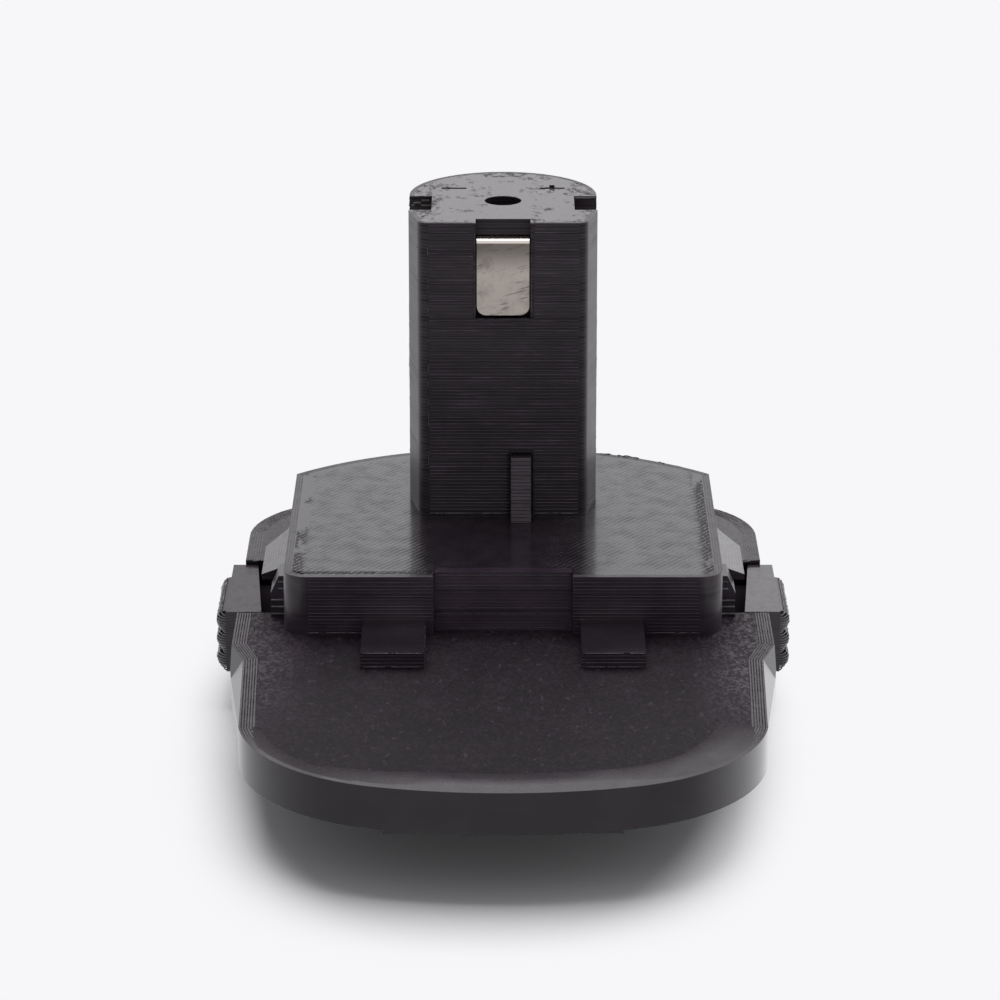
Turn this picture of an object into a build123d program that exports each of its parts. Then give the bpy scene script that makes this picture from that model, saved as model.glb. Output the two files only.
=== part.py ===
from build123d import *
from math import radians, sqrt, tan
import os

# A tool battery adapter: a contact stem and two sprung latches that enter a tool's foot,
# on a base plate with slide rails and terminals for another pack underneath.
# The origin is on the resting plane under the middle of the outline. +X is to the right
# seen from the stem's front contact, +Y runs to the rear and +Z up. Lengths are in mm.

# Heights of the stack, from the resting plane up
receiver_height = 12.0
plate_thickness = 7.0
block_height = 10.4
stem_height = 52.4

# Fits shared by every piece
running_gap = 0.3
joint_gap = 0.1
thread_gap = 0.03
cut_overrun = 4.0

# Base plate outline, in plan
plate_length = 147.4
plate_width = 90.6
front_edge_radius = 78.3
front_corner_radius = 30.0
rear_edge_radius = 69.2
rear_corner_radius = 19.8
ear_front_y = -14.0
side_lean = 5.7

# Finger facets that cut the plate's top edge in front of the ears
facet_ear_y = -9.0
facet_kink_y = -16.3
facet_front_y = -46.0
facet_kink_inset = 2.3
facet_front_inset = 3.3
facet_run = 2.3
facet_depth = 3.6

# Small features under the plate
catch_recess_width = 20.0
catch_recess_length = 6.0
catch_recess_depth = 3.0
catch_recess_y = -49.0
stop_rib_x = 16.0
stop_rib_width = 5.0
stop_rib_length = 4.8
stop_rib_height = 0.9
stop_rib_setback = 2.9

# Shoulder block on the plate
block_half_width = 36.9
block_front_y = -4.7
block_rear_y = 65.4
block_rear_radius = 52.7
block_corner_radius = 4.0
block_wall = 2.4
block_roof = 3.0
cheek_lead = 4.4
cheek_length = 6.2
cheek_reach = 2.5
cheek_top_reach = 1.1
cheek_height = 7.4
cheek_side_height = 4.3
tab_inner_x = 13.0
tab_width = 10.5
tab_height = 2.7
tab_reach = 15.5

# Front panel, set back between the block's front walls
panel_width = 23.0
panel_thickness = 2.4
panel_lug_reach = 2.5
panel_rib_width = 2.0
panel_rib_length = 2.0

# Stem
stem_front_y = 27.8
stem_half_width = 16.3
stem_front_half_width = 14.3
stem_corner_radius = 2.0
stem_flare_length = 8.9
stem_back_centre = 19.2
stem_roof = 2.6
stem_floor = 3.6
recess_width = 9.4
recess_depth = 2.85
recess_height = 16.9
recess_wall = 1.75
side_slot_width = 9.4
side_slot_depth = 3.95
side_slot_wall = 1.35
cavity_back_wall = 3.5
access_hole_radius = 3.2
access_hole_setback = 15.2
column_wall = 1.8
mark_depth = 0.4
mark_stroke = 0.9
mark_length = 4.4
mark_x = 8.6
mark_setback = 23.8

# Key rib on the stem's foot and the groove round it
key_centre_x = 3.1
key_width = 3.4
key_height = 11.1
key_top_reach = 2.2
key_foot_reach = 4.4
key_groove_left = 0.75
key_groove_right = 0.4
key_groove_top = 0.3
key_groove_depth = 0.7

# Contact strips of the stem
strip_thickness = 0.8
strip_inset = 0.3
strip_side_gap = 0.2
strip_top_drop = 2.95
strip_height = 13.45
strip_corner_radius = 1.6
strip_bend_radius = 0.7
front_tail_gap = 0.6
side_tail_gap = 1.5
tail_drop = 8.0

# Latches
latch_front_y = 8.7
latch_length = 24.1
latch_proud = 2.1
latch_top_drop = 0.65
latch_travel = 4.0
notch_front_gap = 2.2
notch_rear_gap = 0.4
carriage_thickness = 2.2
step_skew = 1.8
button_thickness = 2.0
button_height = 10.9
grip_radius = 1.7
grip_pitch = 3.4
grip_count = 3
grip_first_drop = 2.2
grip_front_inset = 2.0
grip_rear_inset = 5.0
web_thickness = 1.7
hook_reach = 2.4
hook_front_inset = 3.3
hook_length = 14.4
hook_skew = 6.5
hook_root_height = 6.5
hook_tip_height = 5.0
hook_under_height = 4.0
window_gap = 0.5
arm_length = 14.2
arm_width = 12.0
arm_setback = 8.3
shoulder_thickness = 3.0
shoulder_lap = 2.5
guide_rib_width = 2.0
guide_rib_height = 5.0
guide_rib_inner_x = 14.0
guide_rib_length = 12.5

# Latch springs and their anchor
spring_radius = 2.2
spring_wire_radius = 0.3
spring_turns = 7
spring_bore_gap = 0.3
arm_bore_depth = 8.0
anchor_half_length = 12.0
anchor_bore_depth = 1.5
anchor_post_radius = 1.1
anchor_post_reach = 3.0

# Slide receiver
rail_setback = 5.8
rail_wall = 8.5
lip_reach = 4.0
lip_height = 4.0
lip_lead_in = 2.0
rail_front_y = -24.0
rail_rear_lap = 10.0
rear_stop_half_width = 33.0
rear_stop_length = 8.0

# Terminals and blades
terminal_half_width = 20.0
terminal_length = 16.0
terminal_floor = 4.2
terminal_front_lap = 4.6
blade_spacing = 15.0
blade_thickness = 0.8
blade_height = 5.5
blade_bottom = 5.5
blade_reach = 14.0
blade_root = 7.0
blade_tail_width = 5.0
blade_tail_rise = 5.5
blade_tip_chamfer = 1.2

# Wires
power_wire_radius = 1.3
sense_wire_radius = 0.8
wire_foot_rise = 1.5
wire_run_height = 4.0
wire_solder_length = 6.5
wire_bend_share = 0.45
wire_slot_half_width = 17.4
wire_slot_length = 6.4
power_hole_width = 4.3
power_hole_length = 5.6
sense_hole_width = 4.6
sense_hole_length = 3.4

# Screws and threaded inserts
screw_radius = 1.5
screw_head_radius = 2.75
screw_head_height = 3.0
socket_across = 2.5
socket_depth = 1.5
head_gap = 0.35
shank_gap = 0.2
insert_radius = 2.3
insert_length = 5.7
boss_wall = 1.7
stem_screw_length = 20.0
rail_screw_length = 12.0
short_screw_length = 8.0
receiver_seat = 4.0
terminal_seat = 3.2
plate_seat = 3.4
rail_front_screw_inset = 7.0
rail_middle_screw_setback = 7.5
rail_rear_screw_inset = 9.0
housing_front_screw_x = 22.0
housing_front_screw_inset = 6.9
housing_rear_screw_x = 24.0
housing_rear_screw_inset = 14.4
terminal_screw_x = 8.0
terminal_screw_setback = 11.0
rear_stop_screw_x = 24.0

# Levels and places that follow from the sizes above
plate_bottom = receiver_height
plate_top = plate_bottom + plate_thickness
block_top = plate_top + block_height
roof_underside = block_top - block_roof
stem_top = block_top + stem_height
plate_half_width = plate_width / 2

stem_screw_y = stem_front_y + access_hole_setback
stem_seat = block_top + stem_floor
column_radius = access_hole_radius + column_wall
cavity_half_width = stem_half_width - side_slot_depth - side_slot_wall
cavity_front_y = stem_front_y + recess_depth + recess_wall
side_strip_y = stem_front_y + stem_flare_length + side_slot_width / 2
mark_y = stem_front_y + mark_setback

front_tail_depth = recess_depth + recess_wall + front_tail_gap
side_tail_depth = side_slot_depth + side_slot_wall + side_tail_gap
sense_wire_y = stem_front_y + front_tail_depth + strip_thickness + sense_wire_radius
sense_wire_x = blade_thickness / 2 + sense_wire_radius
power_top_x = stem_half_width - side_tail_depth - strip_thickness - power_wire_radius
power_foot_x = blade_spacing - blade_thickness / 2 - power_wire_radius

cheek_front_y = latch_front_y - cheek_lead
latch_rear_y = latch_front_y + latch_length
latch_outer_x = plate_half_width + latch_proud
latch_top = plate_top - latch_top_drop
web_inner_x = block_half_width + running_gap
web_outer_x = web_inner_x + web_thickness
hook_tip_x = web_outer_x + hook_reach
hook_front_y = latch_front_y + hook_front_inset
hook_rear_y = hook_front_y + hook_length
shoulder_outer_x = block_half_width - block_wall - running_gap
arm_inner_x = shoulder_outer_x - arm_length
arm_front_y = latch_front_y + arm_setback
arm_rear_y = arm_front_y + arm_width
arm_bottom = plate_top + running_gap
arm_top = roof_underside - running_gap
spring_y = (arm_front_y + arm_rear_y) / 2
spring_z = (arm_bottom + arm_top) / 2
window_front_y = hook_front_y - window_gap
window_rear_y = hook_rear_y + hook_skew + window_gap
notch_inner_x = web_inner_x - latch_travel - running_gap
notch_front_y = latch_front_y - notch_front_gap
notch_rear_y = latch_rear_y + notch_rear_gap

rail_outer_x = plate_half_width - rail_setback
channel_half_width = rail_outer_x - rail_wall
terminal_front_y = sense_wire_y - terminal_front_lap
rail_rear_y = terminal_front_y + terminal_length + rail_rear_lap
rear_stop_front_y = rail_rear_y + running_gap
rear_stop_y = rear_stop_front_y + rear_stop_length / 2
terminal_screw_y = terminal_front_y + terminal_screw_setback
rail_screw_x = (channel_half_width + rail_outer_x) / 2
rail_screw_ys = (rail_front_y + rail_front_screw_inset,
                 notch_front_y - rail_middle_screw_setback,
                 rail_rear_y - rail_rear_screw_inset)
housing_front_place = (housing_front_screw_x, block_front_y + housing_front_screw_inset)
housing_rear_place = (housing_rear_screw_x, block_rear_y - housing_rear_screw_inset)

rail_places = [(side * rail_screw_x, y) for side in (-1, 1) for y in rail_screw_ys]
housing_places = [(side * x, y) for side in (-1, 1)
                  for x, y in (housing_front_place, housing_rear_place)]
terminal_places = [(side * terminal_screw_x, terminal_screw_y) for side in (-1, 1)]
rear_stop_places = [(side * rear_stop_screw_x, rear_stop_y) for side in (-1, 1)]
anchor_places = [(0, spring_y)]


def span(x0, x1, y0, y1, z0, z1):
    """A box between two corners."""
    centre = Pos((x0 + x1) / 2, (y0 + y1) / 2, (z0 + z1) / 2)
    return centre * Box(abs(x1 - x0), abs(y1 - y0), abs(z1 - z0))


def rod(x, y, z0, z1, radius):
    """An upright cylinder from one level to another."""
    return Pos(x, y, (z0 + z1) / 2) * Cylinder(radius, z1 - z0)


def rods(places, z0, z1, radius):
    """The same upright cylinder at each place."""
    return [rod(x, y, z0, z1, radius) for x, y in places]


def pair(shape):
    """A shape on the right and its mirror image on the left."""
    return [shape, mirror(shape, Plane.YZ)]


def upright(outline, z0, z1):
    """A flat outline raised from one level to another."""
    return Pos(0, 0, z0) * extrude(outline, z1 - z0)


def along_y(points, y0, y1):
    """An outline of (x, z) points carried along Y."""
    profile = Plane.XZ * make_face(Polyline(*points, close=True))
    return Pos(0, y1, 0) * extrude(profile, y1 - y0, dir=(0, -1, 0))


def plate_outline():
    """The base plate in plan: bowed front, leaning sides, bowed rear, rounded corners."""
    front_x = plate_half_width - (ear_front_y + plate_length) * tan(radians(side_lean))
    right = [(plate_half_width, plate_length), (plate_half_width, ear_front_y)]
    right.append((front_x, -plate_length))
    left = [(-x, y) for x, y in reversed(right)]
    blank = make_face(Polyline(*right, *left, close=True))
    half = Rectangle(plate_width, plate_length)
    front_disc = Pos(0, front_edge_radius - plate_length / 2) * Circle(front_edge_radius)
    rear_disc = Pos(0, plate_length / 2 - rear_edge_radius) * Circle(rear_edge_radius)
    front = blank & front_disc & (Pos(0, -plate_length / 2) * half)
    rear = blank & rear_disc & (Pos(0, plate_length / 2) * half)
    outline = Sketch() + front + rear
    outline = fillet(outline.vertices().sort_by(Axis.Y)[:2], front_corner_radius)
    return fillet(outline.vertices().sort_by(Axis.Y)[-2:], rear_corner_radius)


def facet_cut():
    """The sloping cut that takes the top edge off the plate's right side."""
    ear = (plate_half_width, facet_ear_y)
    kink = (plate_half_width - facet_kink_inset, facet_kink_y)
    front = (plate_half_width - facet_front_inset, facet_front_y)
    outer_x = plate_half_width + cut_overrun
    points = [ear, kink, front, (outer_x, facet_front_y), (outer_x, facet_ear_y)]
    face = Pos(0, 0, plate_top) * make_face(Polyline(*points, close=True))
    slope = Vector(facet_run, 0, -facet_depth)
    return extrude(face, slope.length, dir=slope)


def base_plate():
    """The wide plate with its latch notches, guide ribs and screw seats."""
    plate = upright(plate_outline(), plate_bottom, plate_top)
    guide_x1 = guide_rib_inner_x + guide_rib_length
    guide_top = plate_top + guide_rib_height
    guide_front = arm_front_y - running_gap
    guide_rear = arm_rear_y + running_gap
    front_rib = span(guide_rib_inner_x, guide_x1, guide_front - guide_rib_width, guide_front,
                     plate_top, guide_top)
    rear_rib = span(guide_rib_inner_x, guide_x1, guide_rear, guide_rear + guide_rib_width,
                    plate_top, guide_top)
    rib_y = stop_rib_setback - plate_length / 2
    stop_rib = span(stop_rib_x - stop_rib_width / 2, stop_rib_x + stop_rib_width / 2,
                    rib_y, rib_y + stop_rib_length, plate_bottom - stop_rib_height, plate_bottom)
    plate += pair(front_rib) + pair(rear_rib) + pair(stop_rib)

    notch = span(notch_inner_x, plate_half_width + cut_overrun, notch_front_y, notch_rear_y,
                 plate_bottom - cut_overrun, plate_top + cut_overrun)
    catch_y = catch_recess_y - catch_recess_length / 2
    catch = span(-catch_recess_width / 2, catch_recess_width / 2,
                 catch_y, catch_y + catch_recess_length,
                 plate_bottom - cut_overrun, plate_bottom + catch_recess_depth)
    wire_slot = span(-wire_slot_half_width, wire_slot_half_width,
                     sense_wire_y - wire_slot_length / 2, sense_wire_y + wire_slot_length / 2,
                     plate_bottom - cut_overrun, plate_top + cut_overrun)
    plate -= pair(notch) + pair(facet_cut()) + [catch, wire_slot]

    below = rail_places + terminal_places + rear_stop_places
    plate -= rods(below, plate_bottom - cut_overrun, plate_bottom + insert_length, insert_radius)
    stem_place = [(0, stem_screw_y)]
    plate -= rods(stem_place, plate_top - insert_length, plate_top + cut_overrun, insert_radius)
    through = stem_place + housing_places + anchor_places
    plate -= rods(through, plate_bottom - cut_overrun, plate_top + cut_overrun,
                  screw_radius + shank_gap)
    plate -= rods(housing_places + anchor_places, plate_bottom - cut_overrun,
                  plate_bottom + plate_seat, screw_head_radius + head_gap)
    return plate


def block_outline(inset):
    """The shoulder block in plan, drawn in by an inset."""
    half = block_half_width - inset
    front = block_front_y + inset
    radius = block_rear_radius - inset
    rear = block_rear_y - inset
    blank = Pos(0, (front + rear) / 2) * Rectangle(2 * half, rear - front)
    disc = Pos(0, block_rear_y - block_rear_radius) * Circle(radius)
    return Sketch() + (blank & disc)


def cheek():
    """The ribbed wall beside the block, in front of the right latch hook."""
    side = block_half_width + cheek_reach
    shoulder = block_half_width + cheek_top_reach
    root = block_half_width - block_wall / 2
    points = [(root, plate_top), (side, plate_top), (side, plate_top + cheek_side_height),
              (shoulder, plate_top + cheek_height), (root, plate_top + cheek_height)]
    return along_y(points, cheek_front_y, cheek_front_y + cheek_length)


def key_rib():
    """The tapered key in front of the stem's foot, carried by the block's roof."""
    back_y = stem_front_y + key_groove_depth - joint_gap
    foot_y = stem_front_y - key_foot_reach
    top_y = stem_front_y - key_top_reach
    key_top = block_top + key_height
    points = [(back_y, block_top - block_roof / 2), (foot_y, block_top - block_roof / 2),
              (foot_y, block_top), (top_y, key_top), (back_y, key_top)]
    profile = Plane.YZ * make_face(Polyline(*points, close=True))
    return Pos(key_centre_x - key_width / 2, 0, 0) * extrude(profile, key_width, dir=(1, 0, 0))


def wire_holes(z0, z1):
    """The three wire passages between the block and the stem."""
    power = span(power_top_x - power_hole_width / 2, power_top_x + power_hole_width / 2,
                 side_strip_y - power_hole_length / 2, side_strip_y + power_hole_length / 2,
                 z0, z1)
    sense = span(sense_wire_x - sense_hole_width / 2, sense_wire_x + sense_hole_width / 2,
                 sense_wire_y - sense_hole_length / 2, sense_wire_y + sense_hole_length / 2,
                 z0, z1)
    return pair(power) + [sense]


def shoulder_block():
    """The hollow raised block with its cheeks, front tabs, side windows and screw bosses."""
    outline = block_outline(0)
    outline = fillet(outline.vertices().sort_by(Axis.Y)[:2], block_corner_radius)
    block = upright(outline, plate_top, block_top)
    block -= upright(block_outline(block_wall), plate_top - cut_overrun, roof_underside)
    tab = span(tab_inner_x, tab_inner_x + tab_width, block_front_y - tab_reach,
               block_front_y + block_wall / 2, plate_top, plate_top + tab_height)
    rib_x = panel_width / 2 + panel_lug_reach
    rib_y = block_front_y + block_wall + panel_thickness + running_gap
    rib = span(rib_x - panel_rib_width, rib_x, rib_y, rib_y + panel_rib_length,
               plate_top, roof_underside)
    boss_radius = insert_radius + boss_wall
    bosses = rods(housing_places, plate_top, roof_underside, boss_radius)
    block += pair(cheek()) + pair(tab) + pair(rib) + bosses
    block += rod(0, stem_screw_y, plate_top, roof_underside, boss_radius)
    block += key_rib()

    opening_half = panel_width / 2 + joint_gap
    panel_back = block_front_y + block_wall + panel_thickness + joint_gap
    opening = span(-opening_half, opening_half, block_front_y - cut_overrun, panel_back,
                   plate_top - cut_overrun, block_top + cut_overrun)
    window = span(block_half_width - block_wall - cut_overrun, block_half_width + cut_overrun,
                  window_front_y, window_rear_y, plate_top - cut_overrun, roof_underside)
    block -= [opening] + pair(window)
    block -= wire_holes(plate_top - cut_overrun, block_top + cut_overrun)
    block -= rods(housing_places, plate_top - cut_overrun, plate_top + insert_length,
                  insert_radius)
    block -= rod(0, stem_screw_y, plate_top - cut_overrun, block_top + cut_overrun,
                 screw_radius + shank_gap)
    return block


def front_panel():
    """The set-back panel in the block's front, held by a lug behind each wall."""
    half = panel_width / 2
    front = block_front_y + block_wall
    face = span(-half, half, front, front + panel_thickness, plate_top, block_top)
    lugs = span(-half - panel_lug_reach, half + panel_lug_reach, front + joint_gap,
                front + panel_thickness, plate_top + joint_gap, roof_underside - joint_gap)
    return face + lugs


def stem_outline():
    """The stem in plan: flat front, flared sides and a half-round back."""
    centre_y = stem_front_y + stem_back_centre
    flare_y = stem_front_y + stem_flare_length
    right = [(stem_front_half_width, stem_front_y), (stem_half_width, flare_y),
             (stem_half_width, centre_y)]
    left = [(-x, y) for x, y in reversed(right)]
    front = make_face(Polyline(*right, *left, close=True))
    outline = Sketch() + front + Pos(0, centre_y) * Circle(stem_half_width)
    return fillet(outline.vertices().sort_by(Axis.Y)[:2], stem_corner_radius)


def stem_cavity():
    """The hollow inside the stem, without the screw column."""
    centre_y = stem_front_y + stem_back_centre
    reach = sqrt((stem_half_width - cavity_back_wall) ** 2 - cavity_half_width**2)
    front = span(-cavity_half_width, cavity_half_width, cavity_front_y, centre_y + reach,
                 stem_seat, stem_top - stem_roof)
    back = rod(0, centre_y, stem_seat, stem_top - stem_roof, stem_half_width - cavity_back_wall)
    back &= span(-cavity_half_width, cavity_half_width, centre_y, centre_y + stem_half_width,
                 stem_seat, stem_top - stem_roof)
    return front + back - rod(0, stem_screw_y, stem_seat, stem_top, column_radius)


def polarity_marks():
    """A shallow minus on the left and plus on the right of the stem's top."""
    z0 = stem_top - mark_depth
    z1 = stem_top + cut_overrun
    half = mark_length / 2
    stroke = mark_stroke / 2
    bars = [span(x - half, x + half, mark_y - stroke, mark_y + stroke, z0, z1)
            for x in (-mark_x, mark_x)]
    bars.append(span(mark_x - stroke, mark_x + stroke, mark_y - half, mark_y + half, z0, z1))
    return bars


def strip_slit(depth, tail_depth, width):
    """The slit behind a recess that a contact strip's leg passes through."""
    top = stem_top - strip_top_drop
    return span(-width / 2 - joint_gap, width / 2 + joint_gap, depth - joint_gap, tail_depth,
                top - strip_thickness - joint_gap, top + joint_gap)


def on_stem_front(shape):
    """Puts a shape drawn behind the XZ plane behind the stem's front face."""
    return Pos(0, stem_front_y, 0) * shape


def on_stem_right(shape):
    """Puts a shape drawn behind the XZ plane behind the stem's right side."""
    return Pos(stem_half_width, side_strip_y, 0) * Rot(0, 0, 90) * shape


def stem_shell():
    """The stem with its contact recesses, inner hollow and screw column."""
    stem = upright(stem_outline(), block_top, stem_top)
    stem -= stem_cavity()
    recess_bottom = stem_top - recess_height
    front_recess = span(-recess_width / 2, recess_width / 2, -cut_overrun, recess_depth,
                        recess_bottom, stem_top + cut_overrun)
    side_recess = span(-side_slot_width / 2, side_slot_width / 2, -cut_overrun, side_slot_depth,
                       recess_bottom, stem_top + cut_overrun)
    front_slit = strip_slit(recess_depth, front_tail_depth, recess_width - 2 * strip_side_gap)
    side_slit = strip_slit(side_slot_depth, side_tail_depth, side_slot_width - 2 * strip_side_gap)
    stem -= [on_stem_front(front_recess), on_stem_front(front_slit)]
    stem -= pair(on_stem_right(side_recess)) + pair(on_stem_right(side_slit))

    groove = span(key_centre_x - key_width / 2 - key_groove_left,
                  key_centre_x + key_width / 2 + key_groove_right, -cut_overrun,
                  key_groove_depth, block_top - cut_overrun,
                  block_top + key_height + key_groove_top)
    stem -= on_stem_front(groove)
    stem -= rod(0, stem_screw_y, stem_seat, stem_top + cut_overrun, access_hole_radius)
    stem -= rod(0, stem_screw_y, block_top - cut_overrun, stem_seat, screw_radius + shank_gap)
    stem -= wire_holes(block_top - cut_overrun, stem_top - stem_roof)
    stem -= polarity_marks()
    return stem


def contact_strip(tail_depth, width):
    """A bent contact: face plate, leg through the slit and a tail for the wire."""
    top = stem_top - strip_top_drop
    face_in = strip_inset + strip_thickness
    tail_in = tail_depth + strip_thickness
    tail_bottom = top - tail_drop
    points = [(strip_inset, top - strip_height), (strip_inset, top), (tail_in, top),
              (tail_in, tail_bottom), (tail_depth, tail_bottom), (tail_depth, top - strip_thickness),
              (face_in, top - strip_thickness), (face_in, top - strip_height)]
    profile = Plane.YZ * make_face(Polyline(*points, close=True))
    strip = Pos(-width / 2, 0, 0) * extrude(profile, width, dir=(1, 0, 0))
    bends = strip.edges().filter_by(Axis.X).group_by(Axis.Z)[-1]
    strip = fillet(bends, strip_bend_radius)
    corners = strip.edges().filter_by(Axis.Y).group_by(Axis.Z)[0]
    return fillet(corners, strip_corner_radius)


def latch_right():
    """The right latch: sprung arm, hook, carriage in the notch and grip button."""
    carriage_bottom = plate_bottom + running_gap
    carriage_top = carriage_bottom + carriage_thickness
    under_z = plate_top + hook_under_height
    tip_z = plate_top + hook_tip_height
    slope = (hook_root_height - hook_tip_height) / (web_thickness + hook_reach)
    crest_x = hook_tip_x - (arm_top - tip_z) / slope
    profile = [(shoulder_outer_x, arm_bottom), (web_inner_x, arm_bottom),
               (web_inner_x, carriage_bottom), (web_outer_x, carriage_bottom),
               (web_outer_x, under_z), (hook_tip_x, under_z), (hook_tip_x, tip_z),
               (crest_x, arm_top), (shoulder_outer_x, arm_top)]
    hook = along_y(profile, hook_front_y, hook_rear_y + hook_skew)
    plan = [(shoulder_outer_x, hook_front_y), (hook_tip_x, hook_front_y),
            (hook_tip_x, hook_rear_y), (web_inner_x, hook_rear_y + hook_skew),
            (shoulder_outer_x, hook_rear_y + hook_skew)]
    hook &= upright(make_face(Polyline(*plan, close=True)), 0, arm_top + cut_overrun)

    carriage = span(web_inner_x, latch_outer_x, latch_front_y, latch_rear_y,
                    carriage_bottom, carriage_top)
    steps = [(hook_tip_x, latch_front_y), (latch_outer_x, latch_front_y),
             (latch_outer_x, latch_rear_y), (hook_tip_x + step_skew, latch_rear_y)]
    top_block = upright(make_face(Polyline(*steps, close=True)), carriage_bottom, latch_top)
    button = span(latch_outer_x - button_thickness, latch_outer_x, latch_front_y, latch_rear_y,
                  latch_top - button_height, latch_top)
    shoulder = span(shoulder_outer_x - shoulder_thickness, shoulder_outer_x,
                    window_front_y - shoulder_lap, window_rear_y + shoulder_lap,
                    arm_bottom, arm_top)
    arm = span(arm_inner_x, shoulder_outer_x, arm_front_y, arm_rear_y, arm_bottom, arm_top)
    latch = hook + carriage + top_block + button + shoulder + arm
    for turn in range(grip_count):
        latch += grip_ridge(latch_top - grip_first_drop - turn * grip_pitch)
    bore = Pos(arm_inner_x, spring_y, spring_z) * Rot(0, 90, 0)
    bore *= Cylinder(spring_radius + spring_bore_gap, 2 * arm_bore_depth)
    return latch - bore


def grip_ridge(z):
    """One half-round ridge across the outside of the right button."""
    y0 = latch_front_y + grip_front_inset
    y1 = latch_rear_y - grip_rear_inset
    ridge = Pos(latch_outer_x, (y0 + y1) / 2, z) * Rot(90, 0, 0) * Cylinder(grip_radius, y1 - y0)
    return ridge & span(latch_outer_x - button_thickness / 2, latch_outer_x + 2 * grip_radius,
                        y0, y1, z - grip_radius, z + grip_radius)


def spring_anchor():
    """The fixed block between the latches that both springs push against."""
    anchor = span(-anchor_half_length, anchor_half_length, arm_front_y, arm_rear_y,
                  plate_top, arm_top)
    seat_x = anchor_half_length - anchor_bore_depth
    bore = Pos(anchor_half_length, spring_y, spring_z) * Rot(0, 90, 0)
    bore *= Cylinder(spring_radius + spring_bore_gap, 2 * anchor_bore_depth)
    post_x1 = anchor_half_length + anchor_post_reach
    post = Pos((seat_x + post_x1) / 2, spring_y, spring_z) * Rot(0, 90, 0)
    post *= Cylinder(anchor_post_radius, post_x1 - seat_x)
    anchor = anchor - pair(bore) + pair(post)
    return anchor - rods(anchor_places, plate_top - cut_overrun, arm_top,
                         screw_radius + thread_gap)


def latch_spring_right():
    """The right coil spring, an open helix between the anchor and the arm's bore."""
    wire = spring_wire_radius
    x0 = anchor_half_length - anchor_bore_depth + wire + joint_gap
    x1 = arm_inner_x + arm_bore_depth - wire - joint_gap
    path = Helix((x1 - x0) / spring_turns, x1 - x0, spring_radius - wire)
    section = Plane(path @ 0, z_dir=path % 0) * Circle(wire)
    coil = sweep(section, path, is_frenet=True)
    return Pos(x0, spring_y, spring_z) * Rot(0, 90, 0) * coil


def rail_right():
    """The right slide rail: a deep wall with an inward lip and a lead-in at its front."""
    wall = span(channel_half_width, rail_outer_x, rail_front_y, rail_rear_y, 0, plate_bottom)
    lip = span(channel_half_width - lip_reach, channel_half_width, rail_front_y, rail_rear_y,
               0, lip_height)
    rail = wall + lip
    entry = rail.edges().filter_by(Axis.Z).group_by(Axis.Y)[0].sort_by(Axis.X)[0]
    rail = chamfer(entry, lip_lead_in)
    rail -= rods(rail_places, -cut_overrun, receiver_seat, screw_head_radius + head_gap)
    return rail - rods(rail_places, 0, plate_bottom + cut_overrun, screw_radius + shank_gap)


def rear_stop():
    """The cross piece that closes the receiver behind the rails."""
    stop = span(-rear_stop_half_width, rear_stop_half_width, rear_stop_front_y,
                rear_stop_front_y + rear_stop_length, 0, plate_bottom)
    stop -= rods(rear_stop_places, -cut_overrun, receiver_seat, screw_head_radius + head_gap)
    return stop - rods(rear_stop_places, 0, plate_bottom + cut_overrun, screw_radius + shank_gap)


def blade(x):
    """One terminal blade with its tail standing up through the plate's wire slot."""
    half = blade_thickness / 2
    root_y = terminal_front_y + blade_root
    tip_y = terminal_front_y - blade_reach
    top = blade_bottom + blade_height
    tail_y = sense_wire_y - blade_tail_width / 2
    body = span(x - half, x + half, tip_y, root_y, blade_bottom, top)
    tips = body.edges().filter_by(Axis.X).group_by(Axis.Y)[0]
    body = chamfer(tips, blade_tip_chamfer)
    tail = span(x - half, x + half, tail_y, tail_y + blade_tail_width, blade_bottom,
                plate_bottom + blade_tail_rise)
    return body + tail


def terminal_block():
    """The insulating block that holds the blades, with its screw seats."""
    block = span(-terminal_half_width, terminal_half_width, terminal_front_y,
                 terminal_front_y + terminal_length, terminal_floor, plate_bottom)
    block -= [blade(x) for x in (-blade_spacing, 0, blade_spacing)]
    seat = terminal_floor + terminal_seat
    block -= rods(terminal_places, terminal_floor - cut_overrun, seat,
                  screw_head_radius + head_gap)
    return block - rods(terminal_places, seat, plate_bottom + cut_overrun,
                        screw_radius + shank_gap)


def wire_sense():
    """The straight sense wire from the middle blade to the front contact."""
    top = stem_top - strip_top_drop - strip_thickness
    return rod(sense_wire_x, sense_wire_y, plate_bottom + wire_foot_rise,
               top - tail_drop + wire_solder_length, sense_wire_radius)


def wire_power_right():
    """The right power wire: up from its blade, across the plate and up the stem."""
    run_z = plate_top + wire_run_height
    foot = (power_foot_x, sense_wire_y, plate_bottom + wire_foot_rise)
    top_z = stem_top - strip_top_drop - strip_thickness - tail_drop + wire_solder_length
    corner_1 = (power_foot_x, sense_wire_y, run_z)
    corner_2 = (power_top_x, side_strip_y, run_z)
    top = (power_top_x, side_strip_y, top_z)
    run = Vector(*corner_2) - Vector(*corner_1)
    bend = run.length * wire_bend_share
    path = FilletPolyline(foot, corner_1, corner_2, top, radius=bend)
    section = Plane(path @ 0, z_dir=path % 0) * Circle(power_wire_radius)
    return sweep(section, path)


def screw(length):
    """A socket-head screw that seats at the level zero and points up."""
    head = rod(0, 0, -screw_head_height, 0, screw_head_radius)
    shank = rod(0, 0, 0, length, screw_radius)
    socket = RegularPolygon(socket_across / 2, 6, major_radius=False)
    return head + shank - upright(socket, -screw_head_height, socket_depth - screw_head_height)


def screws(places, seat, length):
    """A group of separate upward screws."""
    return Compound([Pos(x, y, seat) * screw(length) for x, y in places])


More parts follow.
